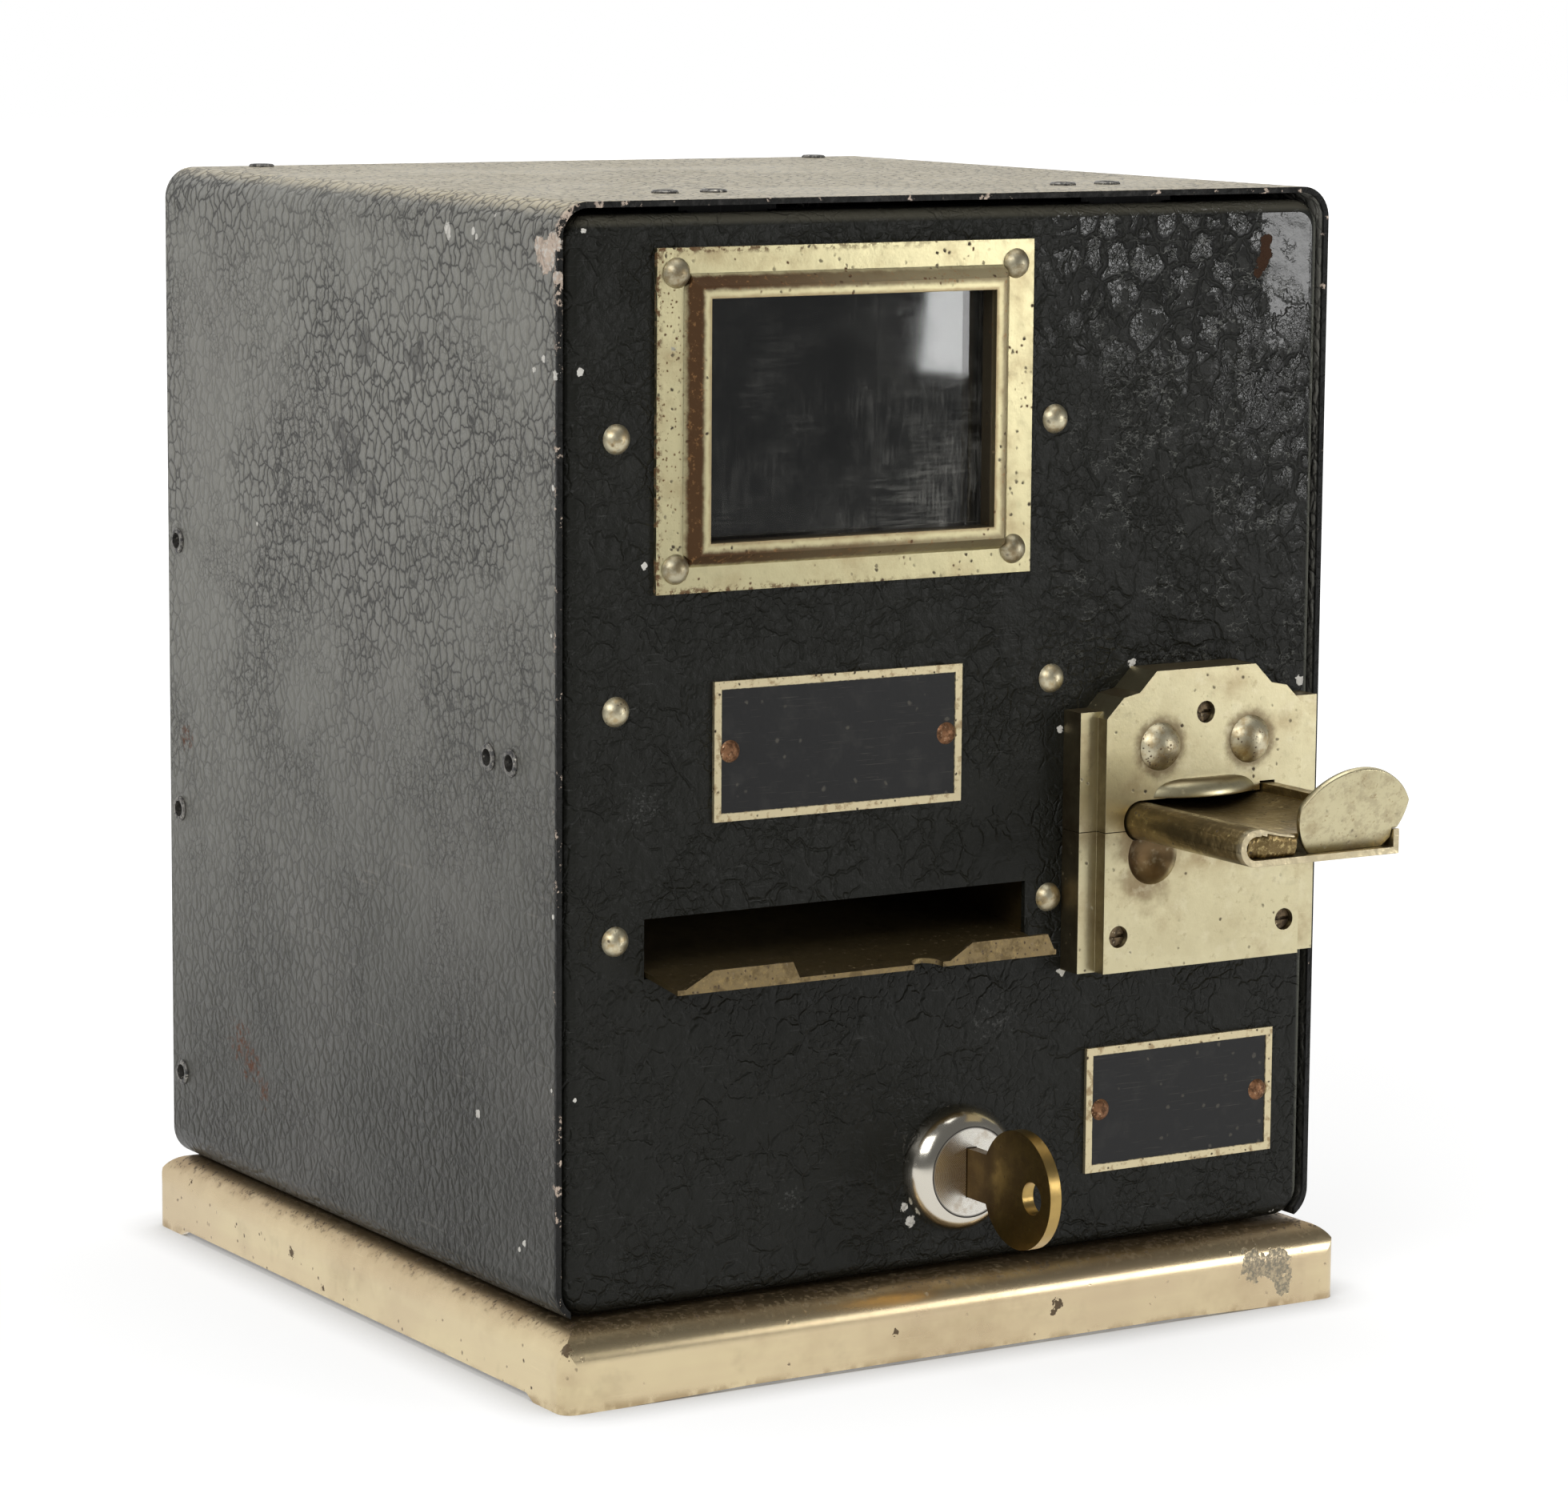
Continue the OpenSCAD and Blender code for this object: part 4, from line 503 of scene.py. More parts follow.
def door_crackle():
    """Black crackle paint that is blistered and glossy towards the upper right."""
    f = Finish("door_crackle", PAINT.door, 0.42)
    right, up = f.axis("X"), f.axis("Z")
    cell = PAINT.door_cell / MM
    drift = f.noise(20, 3, seed=1) - 0.5
    folds = 1 - f.seams(cell, f.bent(4.5, 2.6, 2)).ease(0.0, 0.10)
    fine = 1 - f.seams(cell * 0.42, f.bent(2.0, 1.1, 3)).ease(0.0, 0.14)
    torn = (f.noise(3.2, 4, 0.7, 18) - 0.5) * 14
    calm = (right * 0.3 + up + drift * 30 + torn).ease(220, 226)
    calm = calm * (right + drift * 12 + torn * 0.7).ease(73, 75)
    blistered = (right * 0.75 + up + drift * 60).ease(208, 250)
    blistered = blistered * (right + drift * 16).ease(15, 24) * (1 - calm)
    wrinkled = (1 - calm) * (1 - 0.7 * blistered)
    rolling = f.noise(3.4, 4, 0.6, 9)
    f.lay(rolling, (0.014, 0.0143, 0.0115), 0.42)
    f.lay(rolling * wrinkled, lift=0.50)
    f.lay(folds * f.noise(9, 3, seed=5).ease(0.40, 0.58) * wrinkled, lift=-0.32)
    f.lay(fine * f.noise(14, 2, seed=7).ease(0.40, 0.62) * wrinkled, lift=-0.18)
    dust = f.noise(34, 5, 0.65, 13).ease(0.54, 0.8)
    f.lay(dust * 0.35, (0.034, 0.034, 0.029), 0.55)
    skin = f.seams(PAINT.blister / MM, f.bent(4.0, 2.4, 4))
    whole = (f.noise(7, 3, 0.6, 12) + 0.10 * up.ease(212, 224)).ease(0.45, 0.51)
    island = blistered * skin.ease(0.07, 0.12) * whole
    shore = 1 - abs(skin - 0.08).ease(0.02, 0.07)
    crumbs = 1 - f.seams(1.7, f.bent(1.3, 0.8, 6)).ease(0.0, 0.22)
    f.lay(blistered * shore * 0.8, (0.006, 0.006, 0.005), 0.5, lift=-0.12)
    f.lay(island, lift=0.10)
    f.lay(island * crumbs, lift=-0.07)
    f.lay(island * f.noise(1.6, 3, 0.6, 14), lift=0.08)
    f.lay(calm * crumbs * f.noise(5, 3, seed=15).ease(0.52, 0.64), lift=-0.04)
    f.lay(calm * f.noise(2.6, 2, 0.5, 16), lift=0.05)
    f.lay(calm * f.noise(0.8, 3, 0.65, 20), lift=0.035)
    f.lay(calm * f.noise(8, 2, 0.5, 21), lift=0.30)
    flake = (1 - abs(up - 196 + drift * 36).ease(5, 17)) * (right + drift * 26).ease(56, 72)
    flake = flake * f.noise(6, 3, 0.6, 17).ease(0.44, 0.54)
    f.lay(flake * f.noise(1.5, 3, 0.6, 6), lift=0.40)
    glossy = island.high(calm).high(flake)
    # Pale lines along raised wrinkles at the right: the relief is real, but their pale colour is a painted
    # highlight.
    drawn = f.vector("MULTIPLY", f.bent(2.5, 0.8, 22), (0.5, 1.0, 1.0))
    ridge = 1 - abs(f.noise(2.2, 3, 0.6, where=drawn) - 0.5).ease(0.004, 0.022)
    ridge = ridge * f.noise(6, 3, 0.6, 23).ease(0.50, 0.60)
    ridge = ridge * (right + drift * 30).ease(0, 60) * up.ease(105, 165)
    f.lay(ridge * 0.75, (0.15, 0.152, 0.138), 0.35, lift=0.08)
    hair = f.streaks((7, 7, 0.16), 8).ease(0.66, 0.70) * f.noise(12, 2, seed=10).ease(0.5, 0.62)
    f.lay(hair * 0.5, (0.09, 0.09, 0.085), 0.5)
    crescent = on_front((74.8, 221.0, 1.5), (74.6, 218.8, 1.7), (73.8, 216.6, 1.6), (72.6, 214.6, 1.2))
    rusted = f.spots(crescent, 0.8, 1.4)
    f.lay(rusted, (0.042, 0.019, 0.009), 0.8, lift=-0.2)
    glossy = glossy * (1 - rusted)
    pale = on_front(
        (43.0, 136.6, 1.0), (85.7, 130.3, 1.1), (26.8, 74.6, 1.0), (25.5, 124.2, 0.8), (81.4, 17.7, 0.8),
        (-9.1, 26.9, 1.2), (-10.7, 29.9, 1.0), (-85.6, 199.9, 0.8), (-71.4, 162.5, 0.7),
        (-84.8, 226.6, 0.6), (-86.4, 60.0, 0.4),
    )
    f.lay(f.spots(pale, 0.9, 0.8), PAINT.chip, 0.7, lift=-0.12)
    scuffs = on_front((-72.2, 115.8, 4), (9.9, 66.2, 5), (-37.2, 34.6, 3))
    grit = f.noise(0.7, 3, 0.7, 19).ease(0.52, 0.6)
    f.lay(f.spots(scuffs, 2.4, 0.8, 0.9) * grit * 0.22, (0.20, 0.20, 0.19), 0.6)
    inside = (f.axis("Y") - DOOR_FRONT).ease(3.5, 6)
    # Pale bands along the door's right and top edges: painted highlight on their rounded edges.
    rubbed = (right - DOOR_HIGH.x).ease(-2.4, -1.2) * (0.5 + 0.5 * f.noise(5, 3, 0.6, 24))
    f.lay(rubbed * (1 - inside), (0.16, 0.162, 0.135), 0.4)
    f.lay((up - DOOR_HIGH.z).ease(-2.6, -1.2) * (1 - inside) * 0.8, (0.075, 0.070, 0.052), 0.4)
    f.lay(inside * 0.7, (0.022, 0.022, 0.021), 0.55)
    return f.close((glossy * (1 - inside), 0.19), **{"Specular IOR Level": 0.17})


def enamel_plate(name):
    """Black enamel field inside a rubbed metal border."""
    f = Finish(name + "_enamel", PAINT.enamel, 0.34)
    inset = f.ring(box_of(name), (1.6, 1.6))
    f.lay(f.noise(5, 4, 0.6, 1).ease(0.5, 0.75) * 0.5, (0.028, 0.027, 0.024), 0.5)
    f.lay(f.pits(1.8, 0.10, 2) * 0.6, (0.10, 0.09, 0.07), 0.6)
    f.lay(f.streaks((9, 9, 0.14), 4).ease(0.66, 0.72) * 0.35, (0.12, 0.11, 0.09))
    edge = (inset + (f.noise(0.9, 3, seed=5) - 0.5) * 0.35).ease(-0.12, 0.12)
    f.lay(edge, PAINT.border, 0.36, 0.85)
    f.lay(edge * f.noise(2.2, 4, 0.65, 6).ease(0.50, 0.66) * 0.75, METAL.tarnish, 0.55)
    f.lay(edge * f.pits(1.1, 0.22, 7), METAL.stain, 0.7, 0.2)
    f.lay(f.noise(1.2, 2, seed=8), lift=0.02)
    return f.close(**{"Specular IOR Level": 0.3})


def japan_black():
    """Thin dusty black on plain sheet: partly japanned paint, partly painted shade of the unlit inside of
    the cabinet.
    """
    f = Finish("japan_black", PAINT.japan, 0.5)
    f.lay(f.noise(18, 4, 0.6).ease(0.45, 0.75) * 0.5, (0.016, 0.0155, 0.014), 0.65)
    f.lay(f.streaks((1.0, 0.5, 14), 2).ease(0.62, 0.70) * 0.2, (0.07, 0.07, 0.066), 0.45, 0.5)
    f.lay(f.noise(1.1, 2, seed=3), lift=0.02)
    return f.close(**{"Specular IOR Level": 0.15})


# Plated and bare metal


def plating(name, tone, rough, cloud=16.0, specks=0.16, wavy=1.0):
    """Old plate: a brown film in clouds, dark pits, fine scratches and a little waviness."""
    f = Finish(name, tone, rough, 1.0)
    film = f.noise(cloud, 5, 0.62, 1)
    f.lay(film.ease(0.46, 0.78) * 0.55, METAL.tarnish, rough + 0.12)
    f.lay(f.noise(cloud * 0.3, 4, 0.6, 2).ease(0.54, 0.74) * 0.28, [c * 0.62 for c in tone], rough + 0.1)
    bright = [min(1, c * 1.12) for c in tone]
    f.lay(f.streaks((11, 11, 0.18), 3).ease(0.64, 0.72) * 0.3, bright, rough - 0.08)
    f.lay(f.pits(1.5, specks, 4) * f.noise(9, 2, seed=5).ease(0.42, 0.6), METAL.stain, 0.75, 0.25, -0.05)
    f.lay(f.noise(6, 3, seed=6), lift=0.05 * wavy)
    f.lay(f.noise(0.45, 2, seed=7), lift=0.012 * wavy)
    return f


def plated_base():
    """Nickel on the base: tarnish along the top edge, dark spots and one corroded patch."""
    f = plating("plated_base", METAL.base, 0.22, 34, 0.06, 0.35)
    up = f.axis("Z")
    f.lay(f.streaks((90, 90, 7), 16).ease(0.35, 0.7) * 0.3, (0.62, 0.47, 0.31), 0.28)
    f.lay(f.noise(38, 3, 0.5, 17).ease(0.40, 0.72) * 0.45, (0.55, 0.42, 0.28), 0.3)
    # A darker brown band along the upper bend: painted reflection of the dark cabinet above, with some
    # tarnish.
    shoulder = (up + (f.noise(12, 4, 0.65, 18) - 0.5) * 6).ease(BASE_HIGH.z - 7, BASE_HIGH.z - 1)
    f.lay(shoulder * 0.4, (0.45, 0.33, 0.18), 0.36)
    top = (up + (f.noise(7, 4, 0.65, 11) - 0.5) * 5).ease(BASE_HIGH.z - 3.2, BASE_HIGH.z + 0.6)
    f.lay(top * 0.75, METAL.tarnish, 0.5)
    f.lay(top * f.noise(1.4, 3, 0.7, 12).ease(0.52, 0.64), METAL.stain, 0.7, 0.2)
    patch = on_front((71.5, 9.6, 3.6), (77.2, 8.8, 3.8), (79.0, 4.6, 2.2), y=BASE_LOW.y)
    corroded = f.spots(patch, 1.0, 1.6) * (0.35 + 0.65 * f.noise(0.8, 3, 0.7, 15).ease(0.35, 0.6))
    f.lay(corroded * 0.85, (0.21, 0.195, 0.15), 0.6, 0.4, -0.04)
    dark = [
        ((21.9, BASE_LOW.y, 7.6), 1.1), ((21.0, BASE_LOW.y, 6.0), 0.7), ((-17.2, BASE_LOW.y, 6.9), 0.7),
        ((BASE_LOW.x, 25.4, 7.6), 1.1), ((BASE_LOW.x, 75.8, 12.7), 0.9), ((BASE_LOW.x, 10.6, 3.0), 0.6),
        ((BASE_LOW.x + 1, BASE_LOW.y + 1, 13.0), 1.4),
    ]
    f.lay(f.spots(dark, 1.5, 0.7) * 0.9, (0.085, 0.05, 0.022), 0.7, 0.3, -0.05)
    foot = 1 - up.ease(0.3, 2.4)
    f.lay(foot * f.noise(5, 4, 0.6, 14).ease(0.4, 0.6) * 0.6, METAL.tarnish, 0.5)
    return f.close()


def plated_frame():
    """Worn plate on the window frame, with rust and painted shade in the fold round the raised ridge."""
    low, high = box_of("window_frame")
    f = plating("plated_frame", METAL.window, 0.33, 12, 0.34)
    wobble = f.noise(2.2, 4, 0.65, 11) - 0.5
    slope = f.ring((low, high), (7.0, 6.1)) + wobble
    # The fold round the ridge is dark brown: painted shade, darker towards the left, with rust specks over
    # it.
    band = (1 - slope.ease(0.3, 1.2)) * slope.ease(-2.6, -1.4)
    shade = 1 - 0.45 * f.axis("X").ease(low.x + 10, high.x - 12)
    f.lay(band * shade, (0.085, 0.042, 0.016), 0.55, 0.7)
    f.lay(band * f.noise(1.2, 4, 0.7, 16).ease(0.56, 0.66) * 0.6, (0.30, 0.15, 0.05), 0.6, 0.4)
    out = f.ring((low, high)) + wobble * 1.6
    flaked = out.ease(-1.6, -0.3) * f.noise(1.6, 4, 0.7, 12).ease(0.47, 0.58)
    f.lay(flaked * (2 * shade - 1), (0.15, 0.08, 0.032), 0.7, 0.35)
    inner = 1 - (f.ring((low, high), (10.6, 9.7)) + wobble).ease(0.1, 0.9)
    f.lay(inner * 0.6, METAL.tarnish, 0.5)
    # Deeper in, the inner wall of the opening is nearly black: painted shade in the jamb.
    f.lay(inner * (f.axis("Y") - low.y).ease(0.8, 2.0) * 0.92, (0.020, 0.015, 0.009), 0.5, 0.5)
    left = 1 - f.axis("X").ease(low.x + 3, low.x + 10)
    rusty = left * f.pits(0.9, 0.6, 13) * f.noise(7, 2, seed=14).ease(0.38, 0.52)
    f.lay(rusty, (0.15, 0.075, 0.022), 0.7, 0.3)
    f.lay(f.pits(1.3, 0.4, 17) * f.noise(9, 3, seed=18).ease(0.52, 0.62), (0.12, 0.055, 0.02), 0.7, 0.3)
    pale = on_front((low.x + 3.4, high.z - 20, 2.6), (low.x + 4.0, high.z - 26, 2.2), y=low.y)
    f.lay(f.spots(pale, 0.9, 1.6) * 0.6, (0.30, 0.32, 0.33), 0.5)
    return f.close()


def plated_head():
    """Nickel on the coin head: tarnish and painted shade on its flanks, in the scoop, under the slide and
    round the rivets, and brown along the seam.
    """
    f = plating("plated_head", METAL.head, 0.34, 9, 0.13)
    across, deep, up = f.axis("X"), f.axis("Y"), f.axis("Z")
    f.lay(f.noise(2.4, 4, 0.7, 12).ease(0.58, 0.72) * 0.5, (0.36, 0.29, 0.16), 0.5)
    seam = 1 - abs(up - HEAD_HIGH.z).ease(0.2, 5.0)
    f.lay(seam * f.noise(4, 4, 0.6, 11).ease(0.36, 0.66) * 0.5, METAL.tarnish, 0.5)
    sides, ledge = abs(f.facing("X")).ease(0.75, 0.95), f.facing("Z").ease(0.6, 0.9)
    flank = sides.high(ledge)
    # Side faces dark brown and upper faces golden brown, by which way they face: partly tarnish, partly
    # painted shade.
    f.lay(ledge * (0.45 + 0.5 * f.noise(5, 4, 0.65, 13)), (0.155, 0.098, 0.044), 0.45)
    f.lay(sides * (0.62 + 0.36 * f.noise(4, 4, 0.65, 14)), (0.060, 0.036, 0.016), 0.5)
    # Dark brown in the scoop: painted shade in the hollow, partly dirt.
    scoop = (deep - HEAD_FACE).ease(0.05, 0.8) * (1 - flank)
    scoop = scoop * (1 - abs(across - HEAD_MIDDLE + 12.7).ease(7.5, 8.0))
    scoop = scoop * (1 - abs(up - HEAD_HIGH.z + 7.5).ease(9, 10))
    f.lay(scoop * 0.95, (0.055, 0.034, 0.015), 0.45)
    # Soft brown patches round the scoop: painted shadow of the slide, partly stain.
    stain_and_slide_shadow = on_front(
        (HEAD_MIDDLE - 14.5, HEAD_HIGH.z - 9.0, 9.0), (HEAD_MIDDLE - 18.0, HEAD_HIGH.z - 4.0, 6.0),
        y=HEAD_FACE,
    )
    f.lay(f.spots(stain_and_slide_shadow, 0.6, 3.5, 0.8) * 0.7, (0.17, 0.105, 0.05), 0.5)
    # A brown band just under the slide: partly tarnish, partly painted shadow of the slide.
    below = (1 - abs(across - HEAD_MIDDLE).ease(15, 20)) * (1 - abs(up - HEAD_HIGH.z + 6).ease(1.0, 5.0))
    f.lay(below * f.noise(4, 3, 0.6, 15).ease(0.3, 0.6) * 0.5, METAL.tarnish, 0.5)
    f.lay(f.noise(13, 4, 0.6, 17).ease(0.46, 0.70) * 0.3, (0.45, 0.38, 0.225), 0.42)
    # Dark rings round the rivet domes: painted contact shadow, partly dirt.
    dirt_and_contact_shade = f.noise(1.8, 4, 0.65, 18)
    radius, middles = domes("coin_rivets")
    for middle in middles:
        reach = f.vector("DISTANCE", f.where, middle, output="Value")
        f.lay((1 - (reach + (dirt_and_contact_shade - 0.5) * 3).ease(radius, radius + 2.6)) * 0.75, (0.16, 0.11, 0.06), 0.5)
    worn = f.noise(3, 3, 0.6, 16).ease(0.52, 0.7) * (1 - flank)
    f.lay(worn * 0.3, (0.76, 0.70, 0.50), 0.28)
    return f.close()


def plated_tab():
    """Mottled pale plate on the thumb tab."""
    f = plating("plated_tab", METAL.head, 0.36, 7, 0.2)
    f.lay(f.noise(2.6, 5, 0.7, 11).ease(0.48, 0.62) * 0.45, (0.42, 0.35, 0.23), 0.55)
    f.lay(f.noise(1.2, 3, 0.7, 12).ease(0.60, 0.70) * 0.5, METAL.tarnish, 0.6)
    return f.close()


def brown_dome():
    """Brown film over the frame's dome screws."""
    f = plating("brown_dome", [c * 0.78 for c in METAL.dome], 0.45, 5, 0.2, 2.0)
    f.lay(f.noise(2.0, 4, 0.65, 13).ease(0.40, 0.64) * 0.6, (0.27, 0.185, 0.075), 0.5)
    return f.close()


def spotted_dome():
    """Plate on dome heads, spotted with dark pits."""
    f = plating("spotted_dome", METAL.dome, 0.43, 5, 0.2, 2.0)
    f.lay(f.noise(2.2, 4, 0.65, 13).ease(0.44, 0.64) * 0.6, (0.42, 0.29, 0.12), 0.5)
    f.lay(f.pits(0.8, 0.3, 11) * f.noise(4, 2, seed=12).ease(0.46, 0.58), METAL.stain, 0.7, 0.2)
    on_head = f.axis("X").ease(36, 40)
    pitted = f.pits(0.9, 0.75, 14) * on_head * f.noise(3, 2, seed=15).ease(0.40, 0.52)
    f.lay(pitted, (0.10, 0.055, 0.025), 0.65, 0.3)
    return f.close()


def sunk_screw():
    """Screw head at the bottom of its hole, dark: partly stain on the steel, partly painted shade of the
    hole.
    """
    f = Finish("sunk_screw", (0.17, 0.125, 0.075), 0.42, 1.0)
    f.lay(f.noise(1.4, 4, 0.65, 1).ease(0.42, 0.62) * 0.8, METAL.stain, 0.65, 0.5)
    f.lay(f.noise(0.6, 3, seed=2).ease(0.62, 0.72), (0.5, 0.42, 0.28), 0.35)
    f.lay(f.noise(1.0, 2, seed=3), lift=0.04)
    return f.close()


def rubbed_bronze(name, tone, bright, wavy=0.12):
    """Aged bronze with lighter rubbed places."""
    f = Finish(name, tone, 0.40, 1.0)
    f.lay(f.noise(6, 5, 0.65, 1).ease(0.40, 0.72) * 0.8, [c * 0.45 for c in tone], 0.5)
    f.lay(f.noise(2.0, 4, 0.7, 2).ease(0.56, 0.70) * 0.8, bright, 0.30)
    f.lay(f.streaks((0.25, 9, 0.25), 3).ease(0.60, 0.72) * 0.5, bright, 0.28)
    f.lay(f.pits(1.2, 0.2, 4), METAL.stain, 0.7, 0.3)
    f.lay(f.noise(3.5, 3, seed=5), lift=wavy)
    return f


def fold_bronze():
    """Crumpled dark bronze of the slide's front fold; its pale specks are partly rubbed places and partly
    painted highlights on the crinkles.
    """
    f = rubbed_bronze("fold_bronze", (0.20, 0.14, 0.06), (0.50, 0.39, 0.18), 0.3)
    # Pale specks on the crinkles: painted highlights.
    f.lay(f.noise(1.1, 4, 0.7, 11).ease(0.56, 0.64), (0.48, 0.37, 0.17), 0.3)
    return f.close()


def tray_bronze():
    """Bronze tray with tan speckled lips."""
    edge = box_of("delivery_tray")[0].y
    f = rubbed_bronze("tray_bronze", METAL.bronze, (0.42, 0.32, 0.16))
    lip = 1 - (f.axis("Y") - edge).ease(1.0, 4.5)
    f.lay(lip * f.noise(1.1, 4, 0.7, 11).ease(0.36, 0.56), (0.235, 0.175, 0.09), 0.45)
    f.lay(lip * f.pits(1.0, 0.4, 12), (0.07, 0.042, 0.02), 0.7, 0.3)
    f.lay(lip * f.noise(3, 4, 0.65, 13).ease(0.48, 0.62) * 0.6, (0.10, 0.07, 0.035), 0.5)
    # Darker towards the back of the tray: painted shade under the cabinet.
    back = (f.axis("Y") - edge).ease(12, 22)
    f.lay(back * 0.7, (0.06, 0.045, 0.024), 0.6)
    return f.close()


def slide_bronze():
    """Coin slide: dark roll, golden wear on the dished top and the folded edge."""
    f = rubbed_bronze("slide_bronze", METAL.bronze, (0.54, 0.43, 0.22), 0.3)
    edge = 1 - (f.axis("Y") - SLIDE_LOW.y).ease(0.4, 2.2)
    f.lay(edge * 0.8, (0.66, 0.57, 0.38), 0.33)
    under = 1 - (f.axis("Z") - SLIDE_LOW.z).ease(0.6, 1.6)
    f.lay(under * 0.6, (0.60, 0.52, 0.34), 0.35)
    return f.close()


def copper_rivet():
    """Dull copper-brown rivet."""
    f = Finish("copper_rivet", METAL.copper, 0.5, 0.8)
    f.lay(f.noise(1.2, 4, 0.65).ease(0.4, 0.65), [c * 0.4 for c in METAL.copper], 0.65)
    f.lay(f.noise(0.6, 3, seed=2).ease(0.58, 0.68), (0.42, 0.27, 0.16), 0.4)
    f.lay(f.noise(0.9, 2, seed=3), lift=0.06)
    return f.close()


def dark_eyelet():
    """Painted eyelet with a rubbed steel ring."""
    f = Finish("dark_eyelet", METAL.eyelet, 0.38, 0.9)
    f.lay(f.noise(1.0, 4, 0.65).ease(0.42, 0.6), PAINT.crack, 0.5, 0.0)
    f.lay(f.noise(0.7, 3, seed=2).ease(0.60, 0.7), (0.45, 0.42, 0.36), 0.35)
    return f.close()


def bright_scalp():
    """Polished chrome with faint wiping marks."""
    f = Finish("bright_scalp", METAL.chrome, 0.17, 1.0)
    f.lay(f.noise(7, 4, 0.6).ease(0.5, 0.75) * 0.35, (0.62, 0.57, 0.48), 0.2)
    f.lay(f.streaks((0.3, 6, 2.5), 2).ease(0.60, 0.72) * 0.4, rough=0.24)
    f.lay(f.pits(1.6, 0.08, 3), METAL.stain, 0.6, 0.4)
    f.lay(f.noise(5, 2, seed=4), lift=0.03)
    return f.close()


def turned_plug():
    """Turned plug face with fine rings and scratches."""
    low, high = box_of("lock_plug")
    f = Finish("turned_plug", METAL.plug, 0.24, 1.0)
    centre = ((low.x + high.x) / 2, low.y, (low.z + high.z) / 2)
    flat = f.vector("MULTIPLY", f.vector("SUBTRACT", f.where, centre), (1, 0, 1))
    reach = f.vector("LENGTH", flat, output="Value")
    f.lay(f.math("SINE", reach * 22) * 0.5 + 0.5, rough=0.30, lift=0.008)
    f.lay(f.streaks((4, 4, 0.12), 3).ease(0.62, 0.70) * 0.5, (0.5, 0.46, 0.38), 0.4)
    f.lay(f.noise(3, 4, 0.65, 4).ease(0.5, 0.72) * 0.5, METAL.tarnish, 0.4)
    # A dark ring at the plug's rim: painted shade of the gap round the plug.
    f.lay(reach.ease(8.7, 9.2), (0.04, 0.035, 0.03), 0.6, 0.4)
    return f.close()


def worn_key():
    """Brass key: brown film on the faces, bright rim where hands rub it."""
    low, high = box_of("key")
    f = Finish("worn_key", METAL.key, 0.30, 1.0)
    f.lay(f.noise(5, 4, 0.6).ease(0.30, 0.62) * 0.8, (0.15, 0.088, 0.024), 0.42)
    f.lay(f.streaks((1.0, 5, 0.14), 2).ease(0.63, 0.72) * 0.5, (0.50, 0.36, 0.13), 0.3)
    shank = (f.axis("Y") - low.y).ease((high.y - low.y) * 0.36, (high.y - low.y) * 0.42)
    f.lay(shank * 0.75, (0.085, 0.048, 0.018), 0.5)
    f.lay(f.pits(1.3, 0.12, 3), (0.08, 0.045, 0.015), 0.6, 0.6)
    middle = (low.x + high.x) / 2
    rim = abs(f.axis("X") - middle).ease((high.x - low.x) / 2 - 0.12, (high.x - low.x) / 2 - 0.02)
    f.lay((1 - rim) * (1 - shank) * 0.7, (0.52, 0.36, 0.13), 0.3)
    f.lay(f.noise(1.4, 3, seed=5), lift=0.03)
    return f.close()


def plain_steel():
    """Bare grey sheet and bar with rolling marks and a little rust."""
    f = Finish("plain_steel", METAL.steel, 0.38, 1.0)
    f.lay(f.noise(10, 4, 0.6).ease(0.42, 0.74) * 0.6, (0.22, 0.20, 0.18), 0.5)
    f.lay(f.streaks((0.4, 14, 14), 2).ease(0.56, 0.72) * 0.4, (0.55, 0.54, 0.51), 0.3)
    f.lay(f.noise(3, 5, 0.7, 3).ease(0.64, 0.74) * 0.7, PAINT.rust, 0.75, 0.2)
    f.lay(f.noise(1.0, 2, seed=4), lift=0.02)
    return f.close()


def plain_wire():
    """Drawn wire with a thin oil film."""
    f = Finish("plain_wire", METAL.steel, 0.28, 1.0)
    f.lay(f.noise(3, 4, 0.6, 1).ease(0.4, 0.7) * 0.6, (0.20, 0.165, 0.12), 0.4)
    f.lay(f.noise(0.5, 3, seed=2).ease(0.6, 0.7) * 0.5, (0.6, 0.59, 0.56), 0.22)
    return f.close()


def dull_brass():
    """Turned brass gone dull."""
    f = Finish("dull_brass", METAL.bush, 0.34, 1.0)
    f.lay(f.noise(4, 4, 0.6).ease(0.42, 0.7) * 0.7, (0.30, 0.20, 0.08), 0.5)
    f.lay(f.streaks((0.25, 5, 5), 2).ease(0.55, 0.7) * 0.5, (0.78, 0.62, 0.32), 0.28)
    f.lay(f.noise(0.9, 2, seed=3), lift=0.015)
    return f.close()


def turned_alloy():
    """Turned alloy with fine rings and tobacco stain."""
    f = Finish("turned_alloy", METAL.drum, 0.34, 1.0)
    f.lay(f.streaks((0.22, 9, 9), 1).ease(0.45, 0.7) * 0.6, (0.50, 0.50, 0.49), 0.26, lift=0.02)
    f.lay(f.noise(8, 5, 0.65, 2).ease(0.48, 0.74) * 0.6, (0.34, 0.26, 0.16), 0.5)
    f.lay(f.pits(1.4, 0.1, 3), METAL.stain, 0.7, 0.3)
    return f.close()


def fibre_board():
    """Brown pressed board with long fibres."""
    f = Finish("fibre_board", (0.155, 0.095, 0.052), 0.82)
    f.lay(f.streaks((6, 0.8, 0.8), 1).ease(0.4, 0.7), (0.24, 0.155, 0.088), 0.85, lift=0.06)
    f.lay(f.noise(22, 4, 0.6, 2).ease(0.45, 0.75) * 0.6, (0.095, 0.058, 0.033), 0.8)
    f.lay(f.pits(2.0, 0.15, 3), (0.05, 0.03, 0.018), 0.9)
    return f.close()


